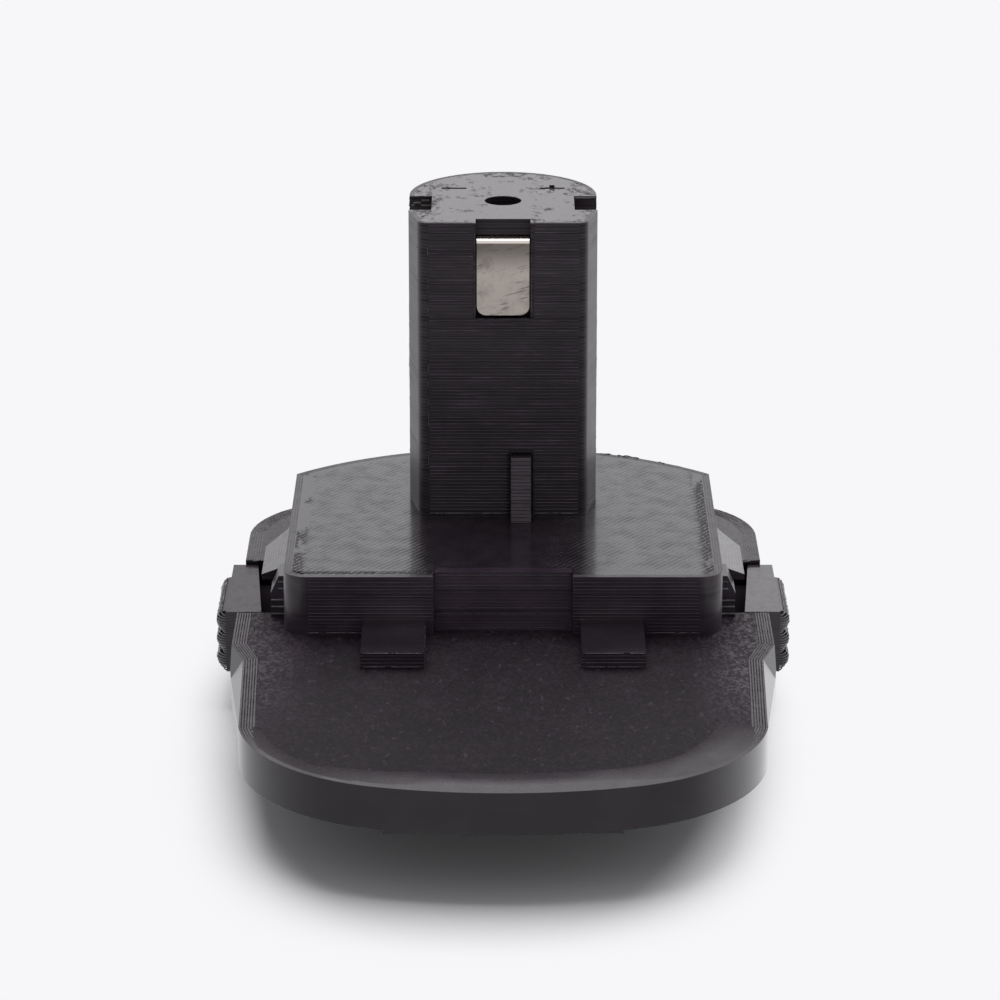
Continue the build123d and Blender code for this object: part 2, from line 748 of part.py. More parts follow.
def inserts(places, z0):
    """A group of separate threaded sleeves."""
    sleeve = rod(0, 0, 0, insert_length, insert_radius)
    sleeve -= rod(0, 0, 0, insert_length, screw_radius + thread_gap)
    return [Pos(x, y, z0) * sleeve for x, y in places]


def parts():
    """Every named piece."""
    front_width = recess_width - 2 * strip_side_gap
    side_width = side_slot_width - 2 * strip_side_gap
    side_contact = on_stem_right(contact_strip(side_tail_depth, side_width))
    right_latch = latch_right()
    right_spring = latch_spring_right()
    right_rail = rail_right()
    right_wire = wire_power_right()
    below = rail_places + terminal_places + rear_stop_places
    plate_sleeves = inserts(below, plate_bottom)
    plate_sleeves += inserts([(0, stem_screw_y)], plate_top - insert_length)
    return {
        "base_plate": base_plate(),
        "shoulder_block": shoulder_block(),
        "front_panel": front_panel(),
        "stem_shell": stem_shell(),
        "contact_front": on_stem_front(contact_strip(front_tail_depth, front_width)),
        "contact_right": side_contact,
        "contact_left": mirror(side_contact, Plane.YZ),
        "latch_right": right_latch,
        "latch_left": mirror(right_latch, Plane.YZ),
        "latch_spring_right": right_spring,
        "latch_spring_left": mirror(right_spring, Plane.YZ),
        "spring_anchor": spring_anchor(),
        "rail_right": right_rail,
        "rail_left": mirror(right_rail, Plane.YZ),
        "rear_stop": rear_stop(),
        "terminal_block": terminal_block(),
        "blade_negative": blade(-blade_spacing),
        "blade_sense": blade(0),
        "blade_positive": blade(blade_spacing),
        "wire_negative": mirror(right_wire, Plane.YZ),
        "wire_sense": wire_sense(),
        "wire_positive": right_wire,
        "stem_screw": Pos(0, stem_screw_y, stem_seat) * Rot(180, 0, 0) * screw(stem_screw_length),
        "housing_screws": screws(housing_places, plate_bottom + plate_seat, short_screw_length),
        "anchor_screw": screws(anchor_places, plate_bottom + plate_seat, short_screw_length),
        "rail_screws": screws(rail_places, receiver_seat, rail_screw_length),
        "rear_stop_screws": screws(rear_stop_places, receiver_seat, rail_screw_length),
        "terminal_screws": screws(terminal_places, terminal_floor + terminal_seat,
                                  short_screw_length),
        "plate_inserts": Compound(plate_sleeves),
        "housing_inserts": Compound(inserts(housing_places, plate_top)),
    }


os.makedirs("parts", exist_ok=True)
for name, shape in parts().items():
    export_step(shape, f"parts/{name}.step")
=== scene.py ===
import math

import bpy
import numpy as np
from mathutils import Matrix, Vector


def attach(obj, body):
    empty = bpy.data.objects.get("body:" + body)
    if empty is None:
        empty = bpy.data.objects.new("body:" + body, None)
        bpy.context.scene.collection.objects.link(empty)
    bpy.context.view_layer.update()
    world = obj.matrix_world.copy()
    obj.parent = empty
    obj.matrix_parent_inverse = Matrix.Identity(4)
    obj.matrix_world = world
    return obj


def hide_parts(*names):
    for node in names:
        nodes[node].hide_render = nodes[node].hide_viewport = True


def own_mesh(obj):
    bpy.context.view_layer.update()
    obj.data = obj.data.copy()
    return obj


# A printed tool battery adapter: the CAD nodes with printed finishes, and the print's own
# lines, beads and burrs as thin pieces on them. Metres, +Z up, the front contact faces -Y.

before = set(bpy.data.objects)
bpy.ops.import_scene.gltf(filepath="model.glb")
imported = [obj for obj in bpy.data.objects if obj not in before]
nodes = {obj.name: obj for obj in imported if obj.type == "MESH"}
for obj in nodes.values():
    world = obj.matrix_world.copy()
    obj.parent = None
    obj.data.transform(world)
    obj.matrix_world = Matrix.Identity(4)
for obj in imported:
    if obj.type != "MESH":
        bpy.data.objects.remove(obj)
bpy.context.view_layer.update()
mm = 0.001
print("frame loaded:", len(nodes), "nodes")


class Value:
    # wraps one socket, so that sums on it add Math nodes
    def __init__(self, net, socket):
        self.net = net
        self.socket = socket

    def maths(self, operation, *values):
        return self.net.node("ShaderNodeMath", {"operation": operation}, values)

    def __add__(self, other):
        return self.maths("ADD", self, other)

    def __sub__(self, other):
        return self.maths("SUBTRACT", self, other)

    def __rsub__(self, other):
        return self.maths("SUBTRACT", other, self)

    def __mul__(self, other):
        return self.maths("MULTIPLY", self, other)

    def __truediv__(self, other):
        return self.maths("DIVIDE", self, other)

    def __pow__(self, other):
        return self.maths("POWER", self, other)

    def __abs__(self):
        return self.maths("ABSOLUTE", self)

    __radd__ = __add__
    __rmul__ = __mul__

    def atLeast(self, other):
        return self.maths("MAXIMUM", self, other)

    def clamp(self):
        return self.maths("MINIMUM", self.atLeast(0.0), 1.0)

    def wave(self):
        # 0.5 + 0.5 cos(2 pi value): one crest per whole number
        return 0.5 + 0.5 * self.maths("COSINE", self * (2 * math.pi))

    def step(self, low, high):
        # smooth rise from 0 at low to 1 at high
        return self.net.node("ShaderNodeMapRange", {"interpolation_type": "SMOOTHSTEP"},
                             {"Value": self, "From Min": low, "From Max": high})

    def between(self, rise, full, fade, end):
        # 1 from full to fade, 0 before rise and past end, smooth in between
        return self.step(rise, full) * (1.0 - self.step(fade, end))


class Net:
    # one material or world, and the one way that nodes are added to it
    def __init__(self, owner):
        owner.use_nodes = True
        self.owner = owner
        self.tree = owner.node_tree
        self.tree.nodes.clear()

    def node(self, kind, settings, values, out=0):
        made = self.tree.nodes.new(kind)
        for key, value in settings.items():
            setattr(made, key, value)
        pairs = values.items() if isinstance(values, dict) else enumerate(values)
        for key, value in pairs:
            if isinstance(value, Value):
                self.tree.links.new(value.socket, made.inputs[key])
            else:
                made.inputs[key].default_value = value
        return Value(self, made.outputs[out]) if len(made.outputs) else None

    def place(self):
        return self.node("ShaderNodeTexCoord", {}, {}, "Object")

    def xyz(self, vector):
        parts = self.node("ShaderNodeSeparateXYZ", {}, [vector])
        return [Value(self, parts.socket.node.outputs[k]) for k in range(3)]

    def vector(self, x, y, z):
        return self.node("ShaderNodeCombineXYZ", {}, [x, y, z])

    def noise(self, vector, scale, detail=2.0, roughness=0.5):
        return self.node("ShaderNodeTexNoise", {}, {"Vector": vector, "Scale": scale,
                         "Detail": detail, "Roughness": roughness})

    def mix(self, factor, a, b):
        return self.node("ShaderNodeMix", {"data_type": "RGBA"}, {0: factor, 6: a, 7: b}, 2)

    def scaled(self, colour, amount):
        # a colour times a number, kept a colour
        return self.node("ShaderNodeVectorMath", {"operation": "SCALE"},
                         {0: colour, "Scale": amount})

    def bump(self, height, distance):
        return self.node("ShaderNodeBump", {}, {"Height": height, "Distance": distance,
                         "Strength": 1.0})

    def gloss(self, colour, rough, lift, specular=0.5, coat=0.0, coatRough=0.10, metal=0.0):
        return self.node("ShaderNodeBsdfPrincipled", {}, {
            "Base Color": colour, "Roughness": rough, "Normal": lift, "Metallic": metal,
            "Specular IOR Level": specular, "Coat Weight": coat, "Coat Roughness": coatRough})

    def either(self, factor, a, b):
        # shader a where the factor is 0, shader b where it is 1
        return self.node("ShaderNodeMixShader", {}, [factor, a, b])

    def seen(self):
        # 1 for what the camera sees itself, in a gloss or through glass, and 0 for the rest
        rays = self.node("ShaderNodeLightPath", {}, {}, "Is Camera Ray")
        glossy = Value(self, rays.socket.node.outputs["Is Glossy Ray"])
        clear = Value(self, rays.socket.node.outputs["Is Transmission Ray"])
        return rays.maths("MINIMUM", rays + glossy + clear, 1.0)

    def finish(self, shader):
        self.node("ShaderNodeOutputMaterial", {}, {"Surface": shader})
        return self.owner

    def surface(self, *values, **more):
        return self.finish(self.gloss(*values, **more))


def rgba(colour):
    return (*colour, 1.0)


def addObject(name, data):
    made = bpy.data.objects.new(name, data)
    bpy.context.scene.collection.objects.link(made)
    return made


# the dark violet grey of the print: tint and warm take turns in clouds; hollow is the dark colour
# of painted shade between layers, in seam gaps and in recesses, and of scuffed wear; pale is for
# light flakes, and for lines painted lighter as painted highlights
printLook = dict(
    tint=(0.0170, 0.0106, 0.0178), warm=(0.0250, 0.0175, 0.0250),
    hollow=(0.0165, 0.0130, 0.0172), pale=(0.0185, 0.0168, 0.0190),
    layerDepth=0.03 * mm, grainScale=2600.0, cloudScale=120.0, lineCloudScale=300.0,
    # sideShadeCut: how much less painted shade walls facing sideways get; middle and leftSheen:
    # where the right half starts and the share of the walls' painted sheen that the left half keeps
    sideShadeCut=0.8, middle=(-10.0 * mm, 10.0 * mm), leftSheen=0.2,
    lineDepth=0.006 * mm, lineSpecular=0.36,
)


def clouded(net, cloud, tints=("tint", "warm")):
    # the print's colour, which goes from one tint to the other in clouds
    return net.mix(cloud.step(0.35, 0.7), *(rgba(printLook[tint]) for tint in tints))


def wallLayers(net, x, y, z, look):
    # how dark each spot of a wall is: painted shade in the groove between two ridges, and some
    # layers darker than others, strokes that are drawn afresh for each layer and slow patches over
    # them all, which vary the tone at random
    layer = z / look["layer"]
    index = layer.maths("FLOOR", layer)
    own = net.node("ShaderNodeTexWhiteNoise", {"noise_dimensions": "1D"}, {"W": index}, "Value")
    wide, high = look["strokeScale"], look["strokeShift"]
    stroke = net.noise(net.vector(x * wide, y * wide, index * high), 1.0, 3.0, 0.6)
    wide, high = look["patchScale"]
    patch = net.noise(net.vector(x * wide, y * wide, z * high), 1.0, 3.0)
    hollow = 1.0 - layer.wave()
    dark = (look["dark"] + look["lines"] * (hollow - 0.5) + look["layers"] * (own - 0.5)
            + look["strokes"] * (stroke - 0.5) + look["patches"] * (patch - 0.5))
    return dark.clamp(), layer.wave() * look["lines"] + stroke * 0.6


seamLook = dict(
    half=36.9 * mm, front=-4.7 * mm, patchScale=260.0, fineScale=1700.0,
    cloudScale=90.0, toothX=860.0, toothY=-620.0, toothWaver=2.2,
    sideStrip=(1.35 * mm, 1.5 * mm, 2.6 * mm, 4.2 * mm),
    frontStrip=(1.3 * mm, 1.5 * mm, 2.4 * mm, 3.4 * mm),
    right=(0.0, 1.0 * mm), frontLeft=(-20.0 * mm, 0.0), rear=(30.0 * mm, 60.0 * mm),
)


def seamedTop(net, place, x, y, z, look):
    # a glossy top whose infill stops short of the outer loops at both sides, which leaves clumps of
    # teeth between them, most of them on the right, and a few more along the front; the gaps among
    # the teeth are darkened as painted shade
    seam = seamLook
    patches = net.noise(place, seam["patchScale"], 3.0, 0.6)
    fine = net.noise(net.vector(x, y * 0.7, z), seam["fineScale"], 4.0, 0.7)
    clumps = (net.noise(net.vector(x * 0.7, y * 0.3, z), seam["patchScale"], 3.0, 0.6)
              + 0.12 * (x.step(*seam["right"]) - 0.5) - 0.1 * y.step(*seam["rear"]))
    teeth = (x * seam["toothX"] + y * seam["toothY"] + fine * seam["toothWaver"]).wave()
    beside = (seam["half"] - abs(x)).between(*seam["sideStrip"])
    ahead = (y - seam["front"]).between(*seam["frontStrip"]) * (1.0 - x.step(*seam["frontLeft"]))
    ragged = (teeth * 0.45 + fine).step(0.42, 0.72)
    # dark: painted shade in the gaps among the teeth, which dims the colour and the coat and mixes
    # in the dark shade colour
    dark = ragged * (0.9 * beside * clumps.step(0.40, 0.47) + ahead * clumps.step(0.25, 0.40))
    cloud = net.noise(place, seam["cloudScale"], 3.0)
    coat = look["coat"] * (0.86 + 0.13 * patches + 0.15 * fine) * (0.9 + 0.2 * cloud)
    coat = coat * (1.0 - dark)
    lift = patches * 0.28 + fine * 1.1 - 4.0 * dark
    return lift, coat, (0.32 + 0.3 * patches) * (1.0 - 0.9 * dark), dark * 0.6


speckleLook = dict(
    side=(29.0 * mm, 43.0 * mm), along=(-62.0 * mm, -20.0 * mm),
    middle=(-5.0 * mm, 5.0 * mm), ear=(30.0 * mm, 34.0 * mm), fibreScale=1500.0,
    flakeScale=3600.0, patchScale=140.0, markScale=900.0,
)


def speckledTop(net, place, x, y, z, look):
    # a rough texture like a print bed's: short fibres and small light flakes, coarser and lighter
    # towards the sides and behind the latches; the lighter sides are partly painted light, since
    # the middle next to the block is kept darker as a painted shade and reflection of it, and the
    # sides are lighter and glossier on the right, a painted light and sheen as if lit from the
    # right
    speckle = speckleLook
    # right: painted light and sheen on the right half, as if lit from that side
    right = x.step(*speckle["middle"])
    beside = abs(x).step(*speckle["side"]) * y.step(*speckle["along"]) * (0.85 + 0.5 * right)
    ear = y.step(*speckle["ear"])
    fibre = net.noise(net.vector(x, y * 0.6, z), speckle["fibreScale"], 4.0, 0.7)
    flake = net.noise(place, speckle["flakeScale"], 1.0).step(0.66, 0.76)
    patches = net.noise(place, speckle["patchScale"], 3.0)
    mark = net.noise(net.vector(x, y * 0.45, z), speckle["markScale"], 2.0).step(0.63, 0.72)
    coarse = net.noise(net.vector(x, y * 0.7, z), speckle["fibreScale"], 3.0, 0.75)
    coarse = coarse.step(0.46, 0.60)
    lift = (fibre * 3.0 + flake * 1.5) * (0.7 + 1.4 * beside + 1.2 * ear)
    tone = (0.12 + 1.1 * fibre.step(0.35, 0.75) + 2.2 * flake + 2.0 * mark + 0.5 * patches
            + beside * (0.4 + 4.8 * coarse) + ear * (0.3 + 0.5 * coarse))
    coat = look["coat"] * ear * (1.25 - coarse) * (1.0 + 0.25 * right) + 0.12 * beside * coarse
    return lift, coat, tone * look["shade"], 0.0


scuffLook = dict(
    side=(9.0 * mm, 15.0 * mm), front=(28.3 * mm, 31.5 * mm),
    rear=(59.5 * mm, 62.5 * mm), marks=((8.6 * mm, 2.6 * mm), (-11.5 * mm, 3.4 * mm)),
    markY=51.3 * mm, patchScale=230.0, fineScale=900.0,
    high=(20.0 * mm, 22.0 * mm), stripe=0.45 * mm,
)


def smoothTop(net, place, x, y, z, look):
    # a nearly flat glossy top, with scuffs that take its gloss in patches, most of them
    # towards its edges and round the marks; a part raised over the rest may have stripes
    wearAndGapShade = scuffLook
    patches = net.noise(place, wearAndGapShade["patchScale"], 4.0, 0.6)
    edge = abs(x).step(*wearAndGapShade["side"])
    edge = edge.atLeast(1.0 - y.step(*wearAndGapShade["front"])).atLeast(y.step(*wearAndGapShade["rear"]))
    for markX, markReach in wearAndGapShade["marks"]:
        # the print is rough round both polarity marks
        apart = ((x - markX) ** 2.0 + ((y - wearAndGapShade["markY"]) * 1.2) ** 2.0) ** 0.5
        edge = edge.atLeast(1.5 * (1.0 - apart.step(0.3 * markReach, markReach)))
    reach = patches + 0.17 * edge
    fine = net.noise(net.vector(x, y * 0.8, z), wearAndGapShade["fineScale"], 5.0, 0.75)
    scuff = fine.step(0.47, 0.60) * reach.step(0.50, 0.64) * look["scuffed"]
    lift = patches * 0.7 - 2.6 * scuff
    coat = look["coat"] * (0.75 + 0.5 * patches) * (1.0 - 0.9 * scuff)
    if look["raised"]:
        high = z.step(*wearAndGapShade["high"])
        coat = coat + look["raised"] * high * (0.7 + 0.6 * fine)
        lift = lift + 2.5 * high * (x / wearAndGapShade["stripe"] + 0.6 * fine).wave()
    tone = (0.9 + 0.4 * patches) * (1.0 - 0.5 * scuff)
    return lift, coat, tone, scuff * 0.55


topKinds = {"seamed": seamedTop, "speckled": speckledTop, "smooth": smoothTop}
topLook = dict(
    kind="smooth", rough=0.18, coat=0.3, scuffed=0.2, shade=1.0, raised=0.0,
    specular=0.33, depth=0.014 * mm,
)
wallLook = dict(
    layer=0.6 * mm, dark=0.25, lines=0.2, layers=0.25, strokes=0.5, patches=0.3,
    strokeScale=140.0, strokeShift=7.3, patchScale=(60.0, 240.0),
    tone=0.8, rough=0.32, coat=0.2, specular=0.40,
)
latchWall = dict(dark=0.05, strokes=0.3, tone=1.3, rough=0.18, specular=0.5)
# on a latch, what faces up below latchTop is painted dark, as painted shade
latchTop = 17.9 * mm  # what faces up below this, on a latch, lies in a recess


def newFinish(name):
    net = Net(bpy.data.materials.new(name))
    return net, net.place()


def printedPlastic(name, top, wall, shadeBelow=None):
    # walls show their layers, tops the finish that their kind says, and a top that lies below a
    # level, in a recess, is painted dull and dark as painted shade
    look, top, wall = printLook, dict(topLook, **top), dict(wallLook, **wall)
    net, place = newFinish(name)
    x, y, z = net.xyz(place)
    facing = net.xyz(net.node("ShaderNodeTexCoord", {}, {}, "Normal"))
    upward = abs(facing[2]).step(0.6, 0.9)
    sidewards = abs(facing[0]).step(0.5, 0.9)
    grain = net.noise(place, look["grainScale"], 2.0)
    cloud = net.noise(place, look["cloudScale"], 3.0)
    base = clouded(net, cloud)
    # the dark colour of painted shade, also used for scuffed wear
    hollow = net.node("ShaderNodeBsdfDiffuse", {}, {"Color": rgba(look["hollow"])})

    dark, layers = wallLayers(net, x, y, z, wall)
    # walls facing sideways get less painted shade, a painted light, and they alone get a coat, a
    # painted sheen, strongest on the right as if lit from there
    dark = dark * (1.0 - look["sideShadeCut"] * sidewards)
    sheenFromRight = x.step(*look["middle"]) * (1.0 - look["leftSheen"]) + look["leftSheen"]
    side = net.gloss(net.scaled(base, (0.7 + 0.6 * cloud) * wall["tone"]),
                     wall["rough"] + 0.08 * grain,
                     net.bump(layers + 0.2 * grain, look["layerDepth"]), wall["specular"],
                     sidewards * sheenFromRight * wall["coat"], 0.2)
    lift, coat, tone, wearAndGapShade = topKinds[top["kind"]](net, place, x, y, z, top)
    if top["kind"] == "speckled":
        base = net.mix(tone.step(0.8, 2.6), base, rgba(look["pale"]))
    flat = net.gloss(net.scaled(base, tone), top["rough"] + 0.10 * cloud,
                     net.bump(lift + 0.3 * grain, top["depth"]), top["specular"], coat)
    # walls mix towards the painted shade where dark; tops mix towards it where scuffed, and in the
    # painted shade of seam gaps
    shader = net.either(upward, net.either(dark, side, hollow), net.either(wearAndGapShade, flat, hollow))
    # painted shade: an upward face below the level is mixed into the dark shade colour
    if shadeBelow:
        recessShade = upward * (1.0 - z.step(shadeBelow - 0.4 * mm, shadeBelow))
        shader = net.either(recessShade, shader, hollow)
    return net.finish(shader)


def printedLine(name, rough, coatLevel, shade=1.0, strokes=0.0):
    # the plastic of one laid line, whose shape is in its mesh; shade scales its colour, and a line
    # whose shade is 1.5 or more is lighter and less violet, a painted highlight
    look = printLook
    net, place = newFinish(name)
    x, y, z = net.xyz(place)
    grain = net.noise(place, look["grainScale"], 3.0)
    cloud = net.noise(place, look["lineCloudScale"], 3.0)
    stroke = net.noise(net.vector(x * 110.0, y * 110.0, z * 900.0), 1.0, 3.0, 0.6)
    base = clouded(net, cloud, ("tint", "warm") if shade < 1.5 else ("pale", "pale"))
    tone = (0.8 + 0.5 * cloud + strokes * stroke.step(0.48, 0.7)) * shade
    return net.surface(net.scaled(base, tone), rough + 0.16 * cloud,
                       net.bump(grain, look["lineDepth"]), look["lineSpecular"],
                       coatLevel * cloud.step(0.25, 0.65))


def fadingGloss(name):
    # the front band: a glossy and lighter line at fade 1, a painted sheen on the edge's slope, and
    # the plate's own dull look at fade 0
    look = printLook
    net, place = newFinish(name)
    fade = net.node("ShaderNodeAttribute", {"attribute_name": "fade"}, {}, "Fac")
    cloud = net.noise(place, look["lineCloudScale"], 3.0)
    fine = net.noise(place, 1900.0, 3.0)
    base = clouded(net, cloud)
    bright = net.gloss(net.scaled(base, 0.8 + 0.5 * cloud), 0.24 + 0.1 * fine,
                       net.bump(fine, look["lineDepth"]), look["lineSpecular"],
                       0.22 + 0.1 * cloud)
    dull = net.gloss(net.scaled(base, 0.3 + 0.6 * fine), 0.6, net.bump(fine, 0.04 * mm), 0.13)
    return net.finish(net.either((fade + 0.25 * (fine - 0.5)).clamp(), dull, bright))


metalLook = dict(
    brushScale=1500.0, cloudScale=300.0, scratchScale=230.0, gatherBelow=70.0 * mm,
    gatherX=90.0, gatherZ=40.0, gatherMore=0.06, glintEdge=0.1 * mm,
    shadeFrom=6.0 * mm, shadeTo=0.5 * mm,
)


def metalFinish(name, colour, rough, scratch, stain=0.0, bend=None):
    # plated metal: fine brushing along Z, cloudy tarnish, thin scratches that gather low on the
    # right, and a bend above a level that is painted bright and made a little smoother, a painted
    # highlight, with painted shade just below it
    look = metalLook
    net, place = newFinish(name)
    x, y, z = net.xyz(place)
    brushed = net.noise(net.vector(x * 6.0, y * 6.0, z * 0.4), look["brushScale"], 3.0)
    cloud = net.noise(place, look["cloudScale"], 5.0, 0.65)
    slanted = net.vector(x + z * 0.6, y, (z - x * 0.3) * 14.0)
    line = net.noise(slanted, look["scratchScale"], 2.0)
    low = x * look["gatherX"] - (z - look["gatherBelow"]) * look["gatherZ"]
    gather = low.step(-0.2, 0.6) * look["gatherMore"]
    scratches = (line + gather).step(0.65, 0.71) * scratch
    tone = 0.86 + 0.20 * brushed + 0.30 * cloud - 0.35 * scratches - stain * cloud.step(0.45, 0.75)
    rough = rough + 0.12 * cloud + 0.10 * scratches
    if bend:
        # the bend's painted highlight, and the painted shade of the face below it
        paintedGlint = z.step(bend - look["glintEdge"], bend + look["glintEdge"])
        shaded = z.step(bend - look["shadeFrom"], bend - look["shadeTo"])
        tone = tone * (1.12 - 0.7 * shaded) * (1.0 - paintedGlint) + 1.9 * paintedGlint
        rough = rough - 0.14 * paintedGlint
    return net.surface(net.scaled(colour, tone), rough,
                       net.bump(brushed * 0.4 - scratches, 0.01 * mm), metal=1.0)


plainLook = dict(grainScale=3000.0, cloudScale=150.0, depth=0.008 * mm)


def plainFinish(name, colour, rough):
    # moulded plastic or insulation: one colour with a fine grain and cloudy gloss
    net, place = newFinish(name)
    grain = net.noise(place, plainLook["grainScale"], 3.0)
    cloud = net.noise(place, plainLook["cloudScale"], 2.0)
    base = net.mix(cloud, rgba(colour), rgba([c * 1.3 for c in colour]))
    return net.surface(net.scaled(base, 0.85 + 0.3 * grain), rough + 0.15 * cloud,
                       net.bump(grain, plainLook["depth"]))


finishes = {
    "block": printedPlastic(
        "printed charcoal, glossy top",
        dict(kind="seamed", coat=0.50, rough=0.16, depth=0.008 * mm),
        dict(dark=0.08, lines=0.0, layers=0.35, strokes=0.45, patches=0.5, rough=0.28, tone=1.5,
             specular=0.45)),
    "plate": printedPlastic(
        "printed charcoal, speckled top",
        dict(kind="speckled", rough=0.55, coat=0.48, shade=0.50, specular=0.105),
        dict(dark=0.04, lines=0.0, layers=0.02, strokes=0.05, patches=0.15, rough=0.13, coat=1.0,
             specular=0.34, tone=0.6)),
    "stem": printedPlastic(
        "printed charcoal, scuffed top", dict(coat=0.64, scuffed=1.0),
        dict(dark=0.42, lines=0.35, layers=0.35, strokes=0.45)),
    # the two latches are lit and shaded copies of one finish: the left top has almost no coat and
    # the left walls are darker, painted shade as if lit from the right
    "right latch": printedPlastic(
        "printed charcoal latch top, lit copy", dict(coat=0.68, scuffed=0.12, raised=0.35),
        latchWall, latchTop),
    "left latch": printedPlastic(
        "printed charcoal latch top, shaded copy", dict(coat=0.02, scuffed=0.25, raised=0.5),
        dict(latchWall, tone=0.9), latchTop),
    # the panel's walls are painted lighter than the block's: painted light that makes up for the
    # shade of the recess the panel stands in
    "panel": printedPlastic(
        "printed charcoal, plain top", dict(coat=0.2),
        dict(dark=0.0, lines=0.25, layers=0.7, strokes=0.4, tone=2.3, specular=0.5)),
    "loop": printedLine("laid charcoal line", 0.26, 0.2, 0.8),
    "band": fadingGloss("smooth charcoal band, painted sheen"),
    "raster": printedLine("laid charcoal infill line", 0.16, 0.55, 0.4),
    "ridge": printedLine("laid charcoal wall line", 0.30, 0.0, 0.9, 2.2),
    # lip, grip and pale ridge lines are painted lighter and paler: painted highlights on edges,
    # burrs, seam beads, grip ridges and wall crests
    "lip": printedLine("proud charcoal lip, painted highlight", 0.28, 0.3, 1.7, 1.6),
    "grip": printedLine("laid charcoal grip line, painted highlight", 0.32, 0.6, 2.0, 2.0),
    "pale ridge": printedLine("laid charcoal line, painted highlight on crests", 0.30, 0.5, 2.0, 2.0),
    "nickel": metalFinish("nickel strip", (0.37, 0.334, 0.303), 0.30, 1.0, 0.42, 78.15 * mm),
    "blade": metalFinish("tinned blade", (0.62, 0.60, 0.57), 0.32, 0.6),
    "spring": metalFinish("spring wire", (0.40, 0.40, 0.41), 0.34, 0.2),
    "screw": metalFinish("black oxide steel", (0.055, 0.054, 0.058), 0.42, 0.4),
    "brass": metalFinish("turned brass", (0.72, 0.53, 0.24), 0.30, 0.3),
    "terminal": plainFinish("moulded black plastic", (0.013, 0.013, 0.014), 0.45),
    "black wire": plainFinish("black silicone", (0.012, 0.012, 0.012), 0.55),
    "red wire": plainFinish("red silicone", (0.33, 0.012, 0.012), 0.5),
    "yellow wire": plainFinish("yellow silicone", (0.55, 0.36, 0.02), 0.5),
}

wearers = {
    "block": ["shoulder_block"],
    "plate": ["base_plate"],
    "stem": ["stem_shell"],
    "left latch": ["latch_left"],
    "right latch": ["latch_right"],
    "panel": ["front_panel", "spring_anchor", "rear_stop", "rail_left", "rail_right"],
    "nickel": ["contact_front", "contact_left", "contact_right"],
    "blade": ["blade_negative", "blade_sense", "blade_positive"],
    "spring": ["latch_spring_left", "latch_spring_right"],
    "screw": ["stem_screw", "housing_screws", "anchor_screw", "rail_screws",
              "rear_stop_screws", "terminal_screws"],
    "brass": ["plate_inserts", "housing_inserts"],
    "terminal": ["terminal_block"],
    "black wire": ["wire_negative"],
    "red wire": ["wire_positive"],
    "yellow wire": ["wire_sense"],
}

for finish, names in wearers.items():
    for name in names:
        slots = nodes[name].data.materials
        slots.clear()
        slots.append(finishes[finish])
print("finishes on", sum(len(names) for names in wearers.values()), "nodes")


def arc(centre, radius, start, end, step=0.6 * mm):
    # centre + radius (cos a, sin a), for a from start to end in degrees
    count = max(3, int(abs(math.radians(end - start)) * radius / step) + 1)
    a = np.radians(np.linspace(start, end, count))
    return np.stack([centre[0] + radius * np.cos(a), centre[1] + radius * np.sin(a)], 1)


def runAlong(path):
    # the distance along a line at each of its points
    return np.r_[0, np.cumsum(np.linalg.norm(np.diff(path, axis=0), axis=1))]


def placesAt(at, path):
    # the places on a line that are given distances along it
    return np.stack([np.interp(at, runAlong(path), values) for values in path.T], 1)


def unit(vectors):
    return vectors / np.linalg.norm(vectors, axis=1)[:, None]


def evenly(points, step, closed=False):
    # the same line with its points a step apart, measured along it; corners are kept
    points = np.asarray(points, float)
    if closed:
        return evenly(np.concatenate([points, points[:1]]), step)[:-1]
    points = points[np.r_[True, np.diff(runAlong(points)) > 1e-7]]
    run = runAlong(points)
    at = np.union1d(np.round(np.arange(0, run[-1], step), 7), run)
    return placesAt(at[np.r_[True, np.diff(at) > 0.25 * step]], points)


def sideways(points, closed):
    # unit vectors to the left of a plan line at its points, lengthened at a corner so that a
    # shifted line keeps its distance
    ahead = np.roll(points, -1, 0) - points
    if not closed:
        ahead[-1] = ahead[-2]
    ahead = unit(ahead)
    left = np.stack([-ahead[:, 1], ahead[:, 0]], 1)
    before = np.roll(left, 1, 0)
    if not closed:
        before[0] = left[0]
    both = left + before
    return both / np.maximum((both * left).sum(1), 0.6)[:, None]


